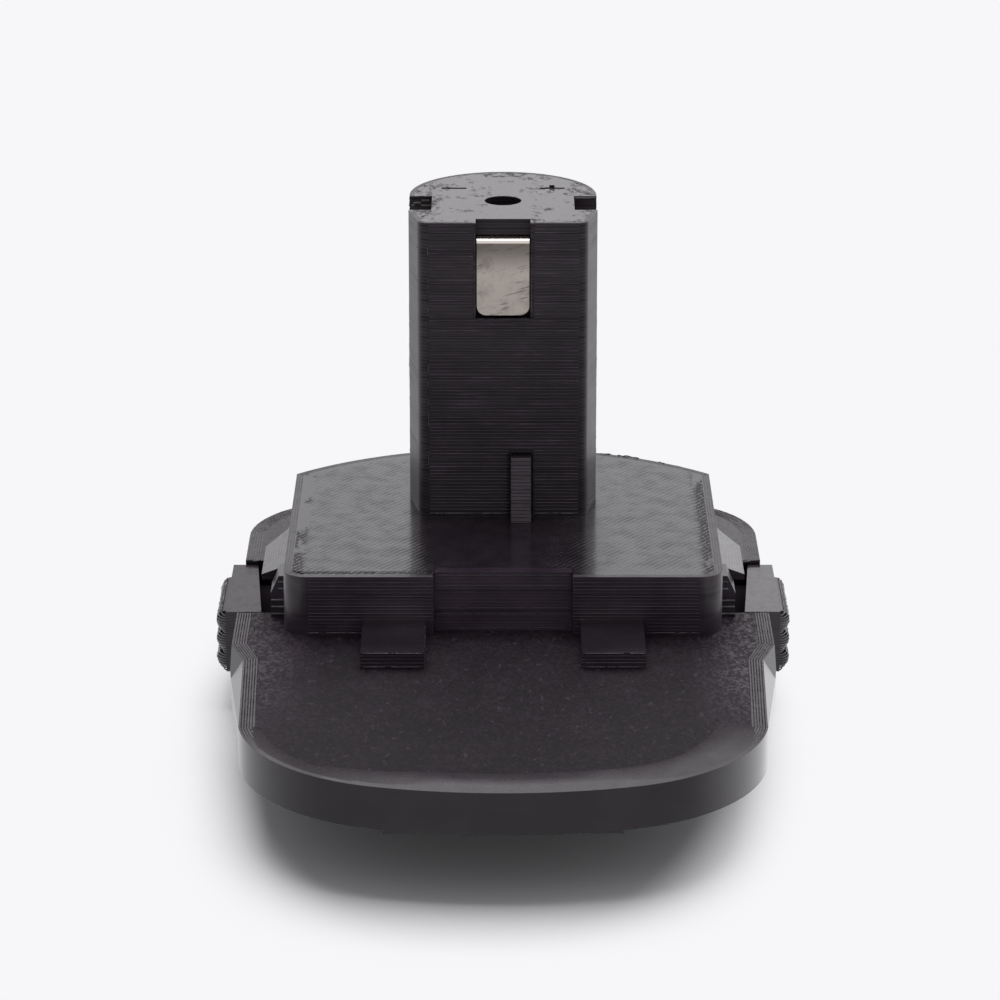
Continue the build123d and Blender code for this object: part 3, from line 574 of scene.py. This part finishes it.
def strands(name, rings, keep, closed, finish, body="adapter", slot="charcoal_print",
            smooth=True, fade=None):
    # rings[r, n, p] is point p of strand r's closed section at place n: a wall between
    # neighbouring sections where keep[r, n] holds, or everywhere without keep, and a sharp cap
    # wherever a kept run ends; fade[r, n] goes into an attribute that the finish may read
    count, places, around, _ = rings.shape
    index = np.arange(count * places * around).reshape(count, places, around)
    after = np.roll(index, -1, 1)
    keep = np.ones((count, places), bool) if keep is None else keep.copy()
    if not closed:
        keep[:, -1] = False
    a, b = index, np.roll(index, -1, 2)
    c, d = np.roll(after, -1, 2), after
    walls = np.stack([a, b, c, d], -1)[keep].reshape(-1, 4)
    starts = keep & ~np.roll(keep, 1, 1)
    stops = ~keep & np.roll(keep, 1, 1)
    caps = np.concatenate([index[starts][:, ::-1], index[stops]])
    points = rings.reshape(-1, 3)
    used = np.unique(np.concatenate([walls.ravel(), caps.ravel()]))
    renumber = np.zeros(len(points), int)
    renumber[used] = np.arange(len(used))
    mesh = bpy.data.meshes.new(name)
    mesh.from_pydata(points[used], [], renumber[walls].tolist() + renumber[caps].tolist())
    soft = np.arange(len(mesh.polygons)) < len(walls) * smooth
    mesh.polygons.foreach_set("use_smooth", soft)
    edges = np.empty(len(mesh.loops), int)
    mesh.loops.foreach_get("edge_index", edges)
    sharp = np.zeros(len(mesh.edges), bool)
    sharp[edges[4 * len(walls):]] = True
    mesh.edges.foreach_set("use_edge_sharp", sharp)
    if fade is not None:
        spread = np.repeat(fade[..., None], around, 2).ravel()
        mesh.attributes.new("fade", "FLOAT", "POINT").data.foreach_set("value", spread[used])
    mesh.materials.append(finishes[finish])
    piece = addObject(name, mesh)
    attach(piece, body)
    return piece


def waver(seed, shape, waves=5):
    # smooth noise along axis 1, one row for each strand: a sum of cosines with random phases
    draw = np.random.default_rng(seed)
    along = np.linspace(0, 1, shape[1])[None, :, None]
    pace = draw.uniform(1.5, 26, (shape[0], 1, waves))
    phase = draw.uniform(0, 2 * np.pi, (shape[0], 1, waves))
    return np.cos(2 * np.pi * pace * along + phase).mean(2) * 1.6


crown = np.array([(-0.46, -0.6), (-0.34, 0.5), (0.0, 1.0), (0.34, 0.5), (0.46, -0.6)])


def laidInside(line, look, seed, closed=False):
    # strand k follows the plan line at (k + 1/2) widths inside it, and wavers
    line = evenly(line, look["step"], closed)
    inward = sideways(line, closed)
    inset = (np.arange(look["count"])[:, None, None] + 0.5) * look["width"]
    shake = waver(seed, (look["count"], len(line)))
    return line + inward * (inset + shake[:, :, None] * look["shake"]), inward, shake, inset


def crowned(centre, across, shake, level, look, seed, tall=1.0):
    # crowns of the look's width and height along lines on a level, whose height wavers
    bead = np.random.default_rng(seed + 9).normal(0, look["beads"], shake.shape)
    high = look["height"] * np.clip(1 + look["sway"] * shake + bead, *look["limits"]) * tall
    plan = centre[:, :, None, :] + across * (crown[:, 0] * look["width"])[:, None]
    up = level + high[:, :, None] * crown[:, 1]
    return np.concatenate([plan, up[..., None]], -1)


def topLoops(name, line, level, look, seed, closed=False, keepInside=None):
    # loops inside the plan line, which a plan test may sink or leave out
    centre, inward, shake, _ = laidInside(line, look, seed, closed)
    tall = np.ones(shake.shape) if keepInside is None else keepInside(centre).astype(float)
    rings = crowned(centre, inward[:, None, :], shake, level, look, seed, tall)
    strands(name, rings, tall > 0.02, closed, "loop")


def rasterLines(name, low, high, level, look, seed, keepInside):
    # parallel lines at an angle over a box in plan, a pitch apart, each a low crown whose
    # height and place waver; kept only where the plan test holds
    turn = math.radians(look["angle"])
    along = np.array([math.cos(turn), math.sin(turn)])
    across = np.array([-along[1], along[0]])
    middle = (np.array(low) + high) / 2
    half = np.linalg.norm(np.array(high) - low) / 2
    rows = np.arange(-half, half, look["pitch"])
    steps = np.arange(-half, half, look["step"])
    shake = waver(seed, (len(rows), len(steps)), 7)
    centre = (middle + rows[:, None, None] * across + steps[None, :, None] * along
              + shake[..., None] * look["shake"] * across)
    rings = crowned(centre, across, shake, level, look, seed)
    strands(name, rings, keepInside(centre), False, "raster")


def wallRidges(name, line, low, high, look, seed, closed=True, keepInside=None, lean=0.0,
               finish="ridge"):
    # ridges a pitch apart round a wall: crowns that stand out of the plan line, each with its
    # own random reach, wavering along the wall; the wall leans back by lean
    line = evenly(line, look["step"], closed)
    outward = -sideways(line, closed)
    levels = np.arange(low + look["pitch"] / 2, high - look["pitch"] / 4, look["pitch"])
    draw = np.random.default_rng(seed)
    least = look["least"]
    own = least + (1 - least) * draw.uniform(0.0, 1.0, (len(levels), 1)) ** 2
    wide = waver(seed + 1, (len(levels), len(line)))
    fine = waver(seed + 2, (len(levels), len(line)), 9) + draw.normal(0, 0.25, wide.shape)
    reach = look["reach"] * np.clip(own * (1.0 + 0.5 * wide) + 0.2 * fine, *look["limits"])
    levels = levels + draw.uniform(-0.2, 0.2, len(levels)) * look["pitch"] / 3
    out = reach[:, :, None] * crown[:, 1]
    plan = line[None, :, None, :] + outward[None, :, None, :] * out[..., None]
    plan[..., 1] += lean * (levels - low)[:, None, None]
    up = levels[:, None, None] - crown[:, 0] * look["tall"] + 0 * out
    rings = np.concatenate([plan, up[..., None]], -1)
    heights = np.broadcast_to(levels[:, None, None], (len(levels), len(line), 1))
    centre = np.concatenate([np.broadcast_to(line, (len(levels), *line.shape)), heights], -1)
    strands(name, rings, keepInside(centre) if keepInside else None, closed, finish)


loopLook = dict(
    width=0.435 * mm, height=0.08 * mm, shake=0.014 * mm, step=0.55 * mm, count=6,
    sway=0.35, beads=0.35, limits=(0.1, 1.8),
)
ridgeLook = dict(
    pitch=0.6 * mm, tall=0.30 * mm, reach=0.08 * mm, step=0.9 * mm, least=0.35,
    limits=(0.03, 1.8),
)

plateLook = dict(
    top=19.0 * mm, frontCentre=(0, 4.6 * mm), frontRadius=78.3 * mm,
    cornerCentre=(12.346 * mm, -42.10 * mm), cornerRadius=30.0 * mm,
    facet=[(42.0, -46.0), (43.0, -16.3), (45.3, -9.0)], halfWidth=45.3,
    notchFront=6.3, notchRear=33.4, rearCorner=(25.5 * mm, 46.81 * mm),
    rearCornerRadius=19.8 * mm, rearCentre=(0, 4.5 * mm), rearRadius=69.2 * mm,
    loopsFrom=-63.0, loopsLag=3.0, loopsRise=16.0,
)


def mirrored(half):
    # a right half from the middle outwards becomes the whole line, left end first
    left = half[::-1] * (-1, 1)
    return np.concatenate([left, half])


def plateLines(look):
    # the edge of the plate's top in front of the latches, then behind them
    turn = math.degrees(math.atan2(look["cornerCentre"][1] - look["frontCentre"][1],
                                   look["cornerCentre"][0]))
    rise = look["facet"][0][1] * mm - look["cornerCentre"][1]
    meet = math.degrees(math.asin(rise / look["cornerRadius"]))
    side = np.array(look["facet"] + [(look["halfWidth"], look["notchFront"])]) * mm
    front = np.concatenate([arc(look["frontCentre"], look["frontRadius"], -90, turn),
                            arc(look["cornerCentre"], look["cornerRadius"], turn, meet), side])
    back = math.degrees(math.atan2(look["rearCorner"][1] - look["rearCentre"][1],
                                   look["rearCorner"][0]))
    start = np.array([(look["halfWidth"], look["notchRear"])]) * mm
    rear = np.concatenate([arc(look["rearCentre"], look["rearRadius"], 90, back),
                           arc(look["rearCorner"], look["rearCornerRadius"], back, 0), start])
    return mirrored(front), mirrored(rear)[::-1]


def besideFront(centre):
    # the loops sink away round the front corners, the inner ones first
    look = plateLook
    start = look["loopsFrom"] + look["loopsLag"] * np.arange(len(centre))[:, None]
    return np.clip((centre[..., 1] / mm - start) / look["loopsRise"], 0, 1)


# the front band's painted sheen: edge, beyond: how bright the outermost lines and those further in
# are at each x; full, level, end: how far in, in mm, each of them reaches
bandLook = dict(
    width=0.435 * mm, height=0.012 * mm, shake=0.008 * mm, step=0.7 * mm, count=20,
    lean=0.165, last=-45.0,
    x=(-43, -36, -30, -25, -17, -10, 16, 22, 27, 32, 36, 43),
    edge=(1.1, 1.0, 0.75, 1.1, 1.05, 1.0, 1.0, 1.0, 1.0, 0.8, 1.1, 1.1),
    full=(0.9, 0.9, 0.9, 1.0, 1.4, 3.0, 3.0, 2.0, 1.0, 1.0, 1.0, 1.0),
    beyond=(0.5, 0.2, 0.1, 0.3, 0.75, 1.0, 1.0, 0.9, 0.75, 0.72, 0.72, 0.8),
    level=(0, 0, 0, 0, 0, 0, 0, 0, 3.5, 4.5, 4.5, 4.5), taper=13.0,
    end=(5, 4, 4, 5.5, 7, 8, 8, 8, 8, 8.7, 8.7, 8.7),
)


def frontBand(line, level, look):
    # the front edge's slope as lines that lean outwards; each is as bright as the look's tables say
    # for its place across and its distance from the edge, a painted sheen, and leans the more, the
    # brighter it is
    centre, inward, _, inset = laidInside(line, look, 11)
    at = {key: np.interp(centre[..., 0] / mm, look["x"], look[key])
          for key in ("edge", "full", "beyond", "level", "end")}
    inset = inset[..., 0] / mm
    plateau = np.maximum(at["full"], at["level"])
    beyond = at["beyond"] * np.clip((at["end"] - inset) / (at["end"] - plateau), 0, 1)
    fade = np.where(inset < at["full"], at["edge"], beyond)
    fade = fade * np.clip((look["last"] - centre[..., 1] / mm) / look["taper"], 0, 1)
    lean = look["lean"] * np.clip(fade, 0, 1)[..., None]
    edge = np.array([(-0.5, -1.0), (-0.5, 0.5), (0.46, 0.5), (0.5, -1.0)])
    tilt = np.where(edge[:, 1] > 0, edge[:, 0] + 0.5, 0) * look["width"] * lean
    plan = centre[:, :, None, :] + inward[None, :, None, :] * (edge[:, 0] * look["width"])[:, None]
    up = level + look["height"] * edge[:, 1] + tilt + 0 * plan[..., 0]
    rings = np.concatenate([plan, up[..., None]], -1)
    strands("plateFrontBand", rings, fade > 0.02, False, "band", smooth=False, fade=fade)


frontLine, rearLine = plateLines(plateLook)
topLoops("plateFrontLoops", frontLine, plateLook["top"], loopLook, 3, keepInside=besideFront)
topLoops("plateRearLoops", rearLine, plateLook["top"], loopLook, 4)
frontBand(frontLine, plateLook["top"], bandLook)

blockLook = dict(
    halfWidth=36.9 * mm, front=-4.7 * mm, rear=65.4 * mm, rearRadius=52.7 * mm,
    base=19.0 * mm, top=29.4 * mm, corner=4.0 * mm, hole=11.7 * mm, holeDepth=5.0 * mm,
)


def blockLine(look):
    # the block's outline from the front panel's right side round the rear to its left side
    half, front, corner = look["halfWidth"], look["front"], look["corner"]
    centre = (0, look["rear"] - look["rearRadius"])
    meet = math.degrees(math.acos(half / look["rearRadius"]))
    start = np.array([(look["hole"], front)])
    turn = arc((half - corner, front + corner), corner, -90, 0, 0.3 * mm)
    rear = arc(centre, look["rearRadius"], meet, 90)
    right = np.concatenate([start, turn, rear])
    return np.concatenate([right, right[::-1] * (-1, 1)])


far = math.inf
# boxes in mm that the laid lines leave free: the ranges along |x|, y and z of each
freeOf = dict(
    cheek=((36.5, far), (3.9, 10.9), (-far, 26.7)), blockCorner=((32.7, far), (-far, -0.5)),
    window=((36.5, far), (11.2, 33.8), (-far, 26.7)),
    tab=((12.6, 23.9), (-far, -4.5), (-far, 22.0)), stemCorner=((12.8, far), (-far, 29.6)),
    recess=((-far, 5.4), (-far, 28.0), (64.6, far)), recessTop=((-far, 5.4), (-far, 31.5)),
    slot=((15.9, far), (36.2, 46.6), (64.6, far)), slotTop=((12.0, far), (36.2, 46.6)),
)
# and those on one side alone, with the range along x itself
freeOfRight = dict(
    groove=((0.4, 5.4), (-far, 28.0), (-far, 41.1)),
    rib=((-1.0, 7.0), (25.0, 30.0)),
)


def clearOf(centre, *names):
    # where a place lies in none of the named boxes
    clear = np.ones(centre.shape[:-1], bool)
    for name in names:
        right = name in freeOfRight
        inside = np.ones(clear.shape, bool)
        for axis, (low, high) in enumerate(freeOfRight[name] if right else freeOf[name]):
            along = centre[..., axis] if axis or right else np.abs(centre[..., axis])
            inside &= (along > low * mm) & (along < high * mm)
        clear &= ~inside
    return clear


def aroundWindows(centre):
    # the block's walls
    return clearOf(centre, "cheek", "window", "tab", "blockCorner")


infillLook = dict(
    side=2.9 * mm, sideWithin=4.0 * mm, other=2.2 * mm, ragged=0.7 * mm,
    frontLeft=3.0 * mm, frontWithin=4.5 * mm, frontRagged=0.9 * mm,
    stemGap=0.3 * mm, stemFront=27.4 * mm,
)


def insideBlock(centre):
    # the part of the block's top within its outer loops, with ragged ends, round the stem
    block, stem, look = blockLook, stemLook, infillLook
    x, y = np.abs(centre[..., 0]), centre[..., 1]
    fromSide, fromFront = block["halfWidth"] - x, y - block["front"]
    rear = block["rearRadius"] - np.hypot(x, y - (block["rear"] - block["rearRadius"]))
    depth = np.minimum(np.minimum(fromSide, rear), fromFront)
    panel = (x < block["hole"]) & (fromFront < block["holeDepth"])
    ragged = np.random.default_rng(21).uniform(0, 1, centre.shape[:2])
    edge = np.where(fromSide < look["sideWithin"], look["side"], look["other"])
    edge = edge + ragged * look["ragged"]
    frontLeft = (fromFront < look["frontWithin"]) & (centre[..., 0] < 0)
    edge = np.where(frontLeft, look["frontLeft"] + ragged * look["frontRagged"], edge)
    flare = np.interp(y, (stem["front"], stem["flare"]), (stem["frontHalf"], stem["half"]))
    behind = np.hypot(x, np.maximum(y - stem["back"], 0))
    foot = ((x < flare + look["stemGap"]) & (y > look["stemFront"])
            & (behind < stem["half"] + look["stemGap"]))
    return (depth > edge) & ~panel & ~foot & clearOf(centre, "rib")


rasterLook = dict(
    pitch=0.943 * mm, width=0.80 * mm, height=0.004 * mm, angle=54.2,
    shake=0.01 * mm, step=0.7 * mm, sway=0.3, beads=0.5, limits=(0.45, 2.2),
)
stemLook = dict(
    front=27.8 * mm, frontHalf=14.3 * mm, half=16.3 * mm, flare=36.7 * mm,
    back=47.0 * mm, corner=2.0 * mm, base=29.4 * mm, top=81.8 * mm,
)

blockOutline = blockLine(blockLook)
topLoops("blockTopLoops", blockOutline, blockLook["top"],
         dict(loopLook, count=3, height=0.02 * mm), 5)
rasterLines("blockTopLines", (-37.0 * mm, -5.0 * mm), (37.0 * mm, 66.0 * mm), blockLook["top"],
            rasterLook, 22, insideBlock)
wallRidges("blockWallRidges", blockOutline, blockLook["base"], blockLook["top"],
           dict(ridgeLook, reach=0.02 * mm), 6, closed=False, keepInside=aroundWindows,
           finish="block")

# short walls with ridges: the plan line in mm from left to right as seen from outside, the
# levels between which they stand, and what differs from the common ridge; {} is for the side
wallPieces = {
    "panelRidges": dict(
        line=[(-11.4, 0.2), (11.4, 0.2)], low=19.0, high=29.4, seed=31,
        look=dict(reach=0.12 * mm), finish="pale ridge"),
    "tabRidges{}": dict(
        line=[(13.0, -5.2), (13.0, -20.2), (23.5, -20.2), (23.5, -5.2)], low=19.0, high=21.6,
        seed=33, look=dict(reach=0.03 * mm), finish="block"),
    "cheekRidges{}": dict(
        line=[(36.9, 4.3), (39.3, 4.3)], low=19.0, high=23.2, seed=41,
        look=dict(pitch=1.2 * mm, tall=0.6 * mm, reach=0.25 * mm), finish="pale ridge"),
    "cheekRidges{}Upper": dict(
        line=[(36.9, 4.3), (38.1, 4.3)], low=23.4, high=26.4, seed=45,
        look=dict(pitch=1.2 * mm, tall=0.6 * mm, reach=0.20 * mm), finish="pale ridge"),
    "keyRibRidges": dict(
        line=[(1.4, 27.0), (1.4, 23.4), (4.8, 23.4), (4.8, 27.0)], low=29.4, high=40.5, seed=37,
        look={}, finish="ridge", lean=0.198),
    "slotRidges{}": dict(
        line=[(16.2, 46.15), (12.4, 46.15)], low=79.0, high=81.7, seed=130,
        look=dict(reach=0.10 * mm, pitch=0.45 * mm), finish="grip"),
}


def shortWall(kind, side=0):
    # one of the walls, or the right or left one of a mirrored pair
    wall = wallPieces[kind]
    line = np.array(wall["line"]) * mm
    if side < 0:
        line = (line * (-1, 1))[::-1]
    name = kind.format({0: "", 1: "Right", -1: "Left"}[side])
    wallRidges(name, line, wall["low"] * mm, wall["high"] * mm, dict(ridgeLook, **wall["look"]),
               wall["seed"] + side, closed=False, finish=wall["finish"],
               lean=wall.get("lean", 0.0))


shortWall("panelRidges")
for side in (1, -1):
    shortWall("tabRidges{}", side)
for side in (1, -1):
    shortWall("cheekRidges{}", side)
    shortWall("cheekRidges{}Upper", side)
shortWall("keyRibRidges")


def stemLine(look):
    # the stem's outline from the middle of its front, round the right side to the left
    lean = math.degrees(math.atan2(look["half"] - look["frontHalf"], look["flare"] - look["front"]))
    reach = look["corner"] * math.tan(math.radians(90 - lean) / 2)
    centre = (look["frontHalf"] - reach, look["front"] + look["corner"])
    start = np.array([(0, look["front"])])
    turn = arc(centre, look["corner"], -90, -lean, 0.3 * mm)
    side = np.array([(look["half"], look["flare"])])
    back = arc((0, look["back"]), look["half"], 0, 90)
    right = np.concatenate([start, turn, side, back])
    return np.concatenate([right, right[::-1][1:-1] * (-1, 1)])


def aroundRecesses(centre):
    # the stem's walls
    return clearOf(centre, "recess", "groove", "slot", "stemCorner")


def offRecesses(centre):
    # the stem's top edge
    return clearOf(centre, "recessTop", "slotTop")


stemOutline = stemLine(stemLook)
wallRidges("stemWallRidges", stemOutline, stemLook["base"], stemLook["top"], ridgeLook, 8,
           keepInside=aroundRecesses)
topLoops("stemTopLoops", stemOutline, stemLook["top"],
         dict(loopLook, count=2, height=0.03 * mm), 9, closed=True, keepInside=offRecesses)

lipLook = dict(step=0.35 * mm, thin=0.75, sway=0.35, ends=1.2 * mm, blunt=0.25)


def tube(side, up, count):
    # the corners of a tube's sections, from two directions across it at each place
    turn = np.radians(np.arange(count) * 360.0 / count)[:, None]
    return side[:, None] * np.cos(turn) + up[:, None] * np.sin(turn)


def lipLine(name, paths, radius, seed, broken=0.0, **where):
    # thin proud edges: six-sided tubes of a wavering radius along lines in space, all in mm,
    # with the share broken of each line left out in random runs
    look = lipLook
    paths = [np.array(path, float) * mm for path in paths]
    count = max(int(runAlong(path)[-1] / look["step"]) + 2 for path in paths)
    rows, kept = [], []
    for number, path in enumerate(paths):
        at = np.linspace(0, runAlong(path)[-1], count)
        line = placesAt(at, path)
        ahead = unit(np.gradient(line, axis=0))
        guide = np.where(np.abs(ahead[:, 2:]) > 0.9, (0.0, 1.0, 0.0), (0.0, 0.0, 1.0))
        side = unit(np.cross(ahead, guide))
        up = np.cross(side, ahead)
        sway = waver(seed + number, (1, count), 9)[0]
        fromEnd = np.minimum(at, at[-1] - at)
        wide = radius * mm * (look["thin"] + look["sway"] * sway)
        wide = wide * np.clip(fromEnd / look["ends"] + look["blunt"], 0, 1)
        rows.append(line[:, None] + tube(side, up, 6) * wide[:, None, None])
        draw = np.random.default_rng(seed + 50 + number)
        rough = np.convolve(draw.normal(0, 1, count), np.ones(4) / 2, "same")
        kept.append(rough > np.quantile(rough, broken))
    strands(name, np.array(rows), np.array(kept), False, "lip", **where)


def straight(y, z, low, high):
    # a line along X in mm
    return [(low, y, z), (high, y, z)]


def bothSides(path):
    # a path and its mirror image
    return [path, [(-x, y, z) for x, y, z in path]]


def roughLine(path, step, reach, seed):
    # a finer line along the path whose points stray at random by the reach, in mm
    path = np.array(path, float)
    line = placesAt(np.arange(0, runAlong(path)[-1], step), path)
    return line + np.random.default_rng(seed).normal(0, reach, line.shape)


lipLine("tabLips", bothSides(straight(-20.2, 21.62, 13.2, 23.3))
        + bothSides(straight(-20.25, 19.25, 13.4, 23.2)), 0.11, 61, 0.1)
lipLine("tabSideBeads", [[(-13.0, -18.5, 21.4), (-13.0, -6.0, 21.4)]], 0.16, 66, 0.55)
lipLine("stemFootLips", [straight(27.76, 29.62, -12.9, 0.3), straight(27.76, 29.62, 5.4, 12.6)],
        0.12, 70, 0.25)
lipLine("stemSeamBeads", [[(-12.85, 27.76, 33.0), (-12.85, 27.76, 79.0)]], 0.10, 74, 0.7)
lipLine("panelLips", [straight(-2.35, z, -11.4, 11.4) for z in (19.5, 22.0, 23.1, 27.0, 28.9)],
        0.06, 78, 0.05)
lipLine("blockFootLips", bothSides(straight(-4.75, 19.5, 12.2, 12.9))
        + bothSides(straight(-4.75, 19.5, 23.8, 33.0)), 0.09, 84, 0.15)
lipLine("blockCornerLips", bothSides([(36.35, -2.6, 19.8), (36.35, -2.6, 29.0)]), 0.10, 90, 0.1)
lipLine("recessLips", [[(-4.85, 27.76, 65.0), (-4.85, 27.76, 81.6)],
                       [(4.85, 27.76, 65.0), (4.85, 27.76, 76.0)],
                       straight(27.78, 64.8, -4.7, 4.7)], 0.07, 94, 0.2)

rearLook = dict(x=(12.0, 16.0, 20.0, 24.0, 28.0, 32.0), centreY=12.7, radius=52.7, z=29.42)
blockRear = [(x, rearLook["centreY"] + math.sqrt(rearLook["radius"] ** 2 - x * x), rearLook["z"])
             for x in rearLook["x"]]
lipLine("blockRearFray", [roughLine(blockRear, 0.6, 0.10, 5)], 0.14, 100, 0.3)
earFront = bothSides(straight(33.3, 18.9, 38.5, 45.2))
lipLine("earFray", [roughLine(path, 0.7, 0.16, 7 + k) for k, path in enumerate(earFront)],
        0.24, 104, 0.15)
lipLine("latchLipRight", [straight(8.68, 18.33, 41.5, 47.2)], 0.11, 108, 0.1,
        body="right_latch", slot="latch_print")
lipLine("latchLipLeft", [straight(8.68, 18.33, -47.2, -41.5)], 0.08, 109, 0.2,
        body="left_latch", slot="latch_print")

gripLook = dict(
    outer=47.4 * mm, radius=1.7 * mm, crests=(16.15 * mm, 12.75 * mm, 9.35 * mm),
    low=7.7 * mm, high=17.9 * mm, front=8.9 * mm, rear=27.7 * mm, nose=2.3 * mm,
    least=0.7 * mm, sunk=0.02 * mm, pitch=0.45 * mm, reach=0.14 * mm, places=40,
)


def gripLayers(name, look, side, seed, body):
    # the ragged layers of a latch's grip ridges: a crown along Y for each layer, on the
    # outline that the half-round ridges make, with its own random reach; towards the front
    # all of them draw in as a quarter of an ellipse
    levels = np.arange(look["low"], look["high"], look["pitch"])
    draw = np.random.default_rng(seed)
    share = np.linspace(0, 1, look["places"]) ** 1.6  # closer together at the nose
    along = look["front"] + (look["rear"] - look["front"]) * share
    nose = np.sqrt(1 - np.clip(1 - (along - look["front"]) / look["nose"], 0, 1) ** 2)
    bulge = np.max([np.sqrt(np.clip(look["radius"] ** 2 - (levels - crest) ** 2, 0, None))
                    for crest in look["crests"]], axis=0)
    bulge = np.maximum(bulge, look["least"])
    own = draw.uniform(0.0, 1.0, (len(levels), 1))
    own = own + draw.normal(0, 0.35, (len(levels), len(along)))
    reach = look["reach"] * np.clip(own, 0.05, 2.0)[..., None] * crown[:, 1]
    out = look["outer"] - look["sunk"] + (bulge[:, None, None] + reach) * nose[None, :, None]
    up = levels[:, None, None] - crown[:, 0] * look["pitch"] * 0.8 + 0 * out
    rings = np.stack([side * out, along[None, :, None] + 0 * out, up], -1)
    rings = rings if side > 0 else rings[:, :, ::-1]
    strands(name, rings, None, False, "grip", body=body, slot="latch_print")


gripLayers("gripLayersRight", gripLook, 1, 121, "right_latch")
gripLayers("gripLayersLeft", gripLook, -1, 122, "left_latch")

springLook = dict(
    y=23.0 * mm, z=22.7 * mm, radius=1.9 * mm, wire=0.3 * mm, turns=7,
    perTurn=22, fixed=10.6 * mm, start=10.9 * mm, end=27.6 * mm, travel=4.0 * mm,
)


def coilSpring(name, look, side, node):
    # a wire of round section along x = start..end, y = r cos t, z = r sin t, which the latch
    # presses together from its moving end
    t = np.linspace(0, 2 * np.pi * look["turns"], look["perTurn"] * look["turns"])
    rise = (look["end"] - look["start"]) / t[-1]
    out = np.stack([0 * t, np.cos(t), np.sin(t)], 1)
    ahead = np.stack([rise + 0 * t, -look["radius"] * np.sin(t), look["radius"] * np.cos(t)], 1)
    up = np.cross(unit(ahead), out)
    line = np.array([look["start"], look["y"], look["z"]]) + look["radius"] * out
    line[:, 0] += rise * t
    rings = (line[:, None] + look["wire"] * tube(out, up, 8))[None]
    if side < 0:
        rings = (rings * (-1, 1, 1))[:, :, ::-1]
    piece = strands(name, rings, None, False, "spring", slot="spring_steel")
    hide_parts(node)
    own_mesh(piece)


coilSpring("coilSpringRight", springLook, 1, "latch_spring_right")
coilSpring("coilSpringLeft", springLook, -1, "latch_spring_left")

for side in (1, -1):
    shortWall("slotRidges{}", side)
print("laid lines made")


stageLook = dict(
    size=3.0, white=(0.93, 0.925, 0.945), floor=(0.868, 0.863, 0.885),
    fadeNear=0.72, fadeFar=1.08, fadeX=0.053, fadeY=0.116, fadeShift=-0.0035, fadePower=1.87,
    worldLight=0.32, worldTint=(0.97, 0.98, 1.0), lift=0.012, aim=(0, 0, 0.02),
    lampSize=0.95, lampPlace=(0.03, 0.25, 0.95), lampPower=10.2,
    sideSize=0.9, sidePlace=(0.80, 0.1, 0.50), sidePower=1.0,
)


def makeFloor(look):
    # a plain square floor that keeps the part's shadow near the part, with its outer edge trimmed
    # by painted light
    half = look["size"]
    mesh = bpy.data.meshes.new("floor")
    corners = [(-half, -half, 0), (half, -half, 0), (half, half, 0), (-half, half, 0)]
    mesh.from_pydata(corners, [], [(0, 1, 2, 3)])
    floor = addObject("floor", mesh)
    net = Net(bpy.data.materials.new("pale floor"))
    x, y, z = net.xyz(net.place())
    # an oval round the part, a little pointed at its four ends and close to the part's edges, past
    # which the floor is plain white to the camera; this glow erases the outer edge of the part's
    # shadow, painted light, and lift is a faint glow everywhere that lightens the shadow, painted
    # light too
    wide = abs(x - look["fadeShift"]) / look["fadeX"]
    long = abs(y) / look["fadeY"]
    radius = (wide ** look["fadePower"] + long ** look["fadePower"]) ** (1 / look["fadePower"])
    away = radius.step(look["fadeNear"], look["fadeFar"]).atLeast(look["lift"]) * net.seen()
    lit = net.node("ShaderNodeBsdfDiffuse", {}, {"Color": rgba(look["floor"])})
    glow = net.node("ShaderNodeEmission", {}, {"Color": rgba(look["white"]), "Strength": 1.0})
    mesh.materials.append(net.finish(net.either(away, lit, glow)))


def makeWorld(look):
    # soft light from all round, and plain white where it is seen
    world = bpy.data.worlds.new("studio")
    bpy.context.scene.world = world
    net = Net(world)
    soft = net.node("ShaderNodeBackground", {}, {"Color": rgba(look["worldTint"]),
                    "Strength": look["worldLight"]})
    white = net.node("ShaderNodeBackground", {}, {"Color": rgba(look["white"]), "Strength": 1.0})
    both = net.either(net.seen(), soft, white)
    net.node("ShaderNodeOutputWorld", {}, {"Surface": both})


def makeLamp(name, place, size, power, target):
    # a square soft box that faces the target
    lamp = bpy.data.lights.new(name, "AREA")
    lamp.shape = "SQUARE"
    lamp.size = size
    lamp.energy = power
    holder = addObject(name, lamp)
    holder.location = place
    aim = Vector(target) - Vector(place)
    holder.rotation_euler = aim.to_track_quat("-Z", "Y").to_euler()


cameraLook = dict(place=(-0.00052, -0.6813, 0.2707), pitch=71.4, lens=154.8, sensor=36.0)


def makeCamera(look):
    # the photo's viewing angle: pitch is 90 degrees less what it looks down
    camera = bpy.data.cameras.new("camera")
    camera.lens = look["lens"]
    camera.sensor_width = look["sensor"]
    holder = addObject("camera", camera)
    holder.location = look["place"]
    holder.rotation_euler = (math.radians(look["pitch"]), 0, 0)
    bpy.context.scene.camera = holder


makeFloor(stageLook)
makeWorld(stageLook)
for name, lamp in (("overhead softbox", "lamp"), ("right softbox", "side")):
    makeLamp(name, *(stageLook[lamp + key] for key in ("Place", "Size", "Power")), stageLook["aim"])
makeCamera(cameraLook)
bpy.context.scene.view_settings.view_transform = "Standard"
print("stage ready")
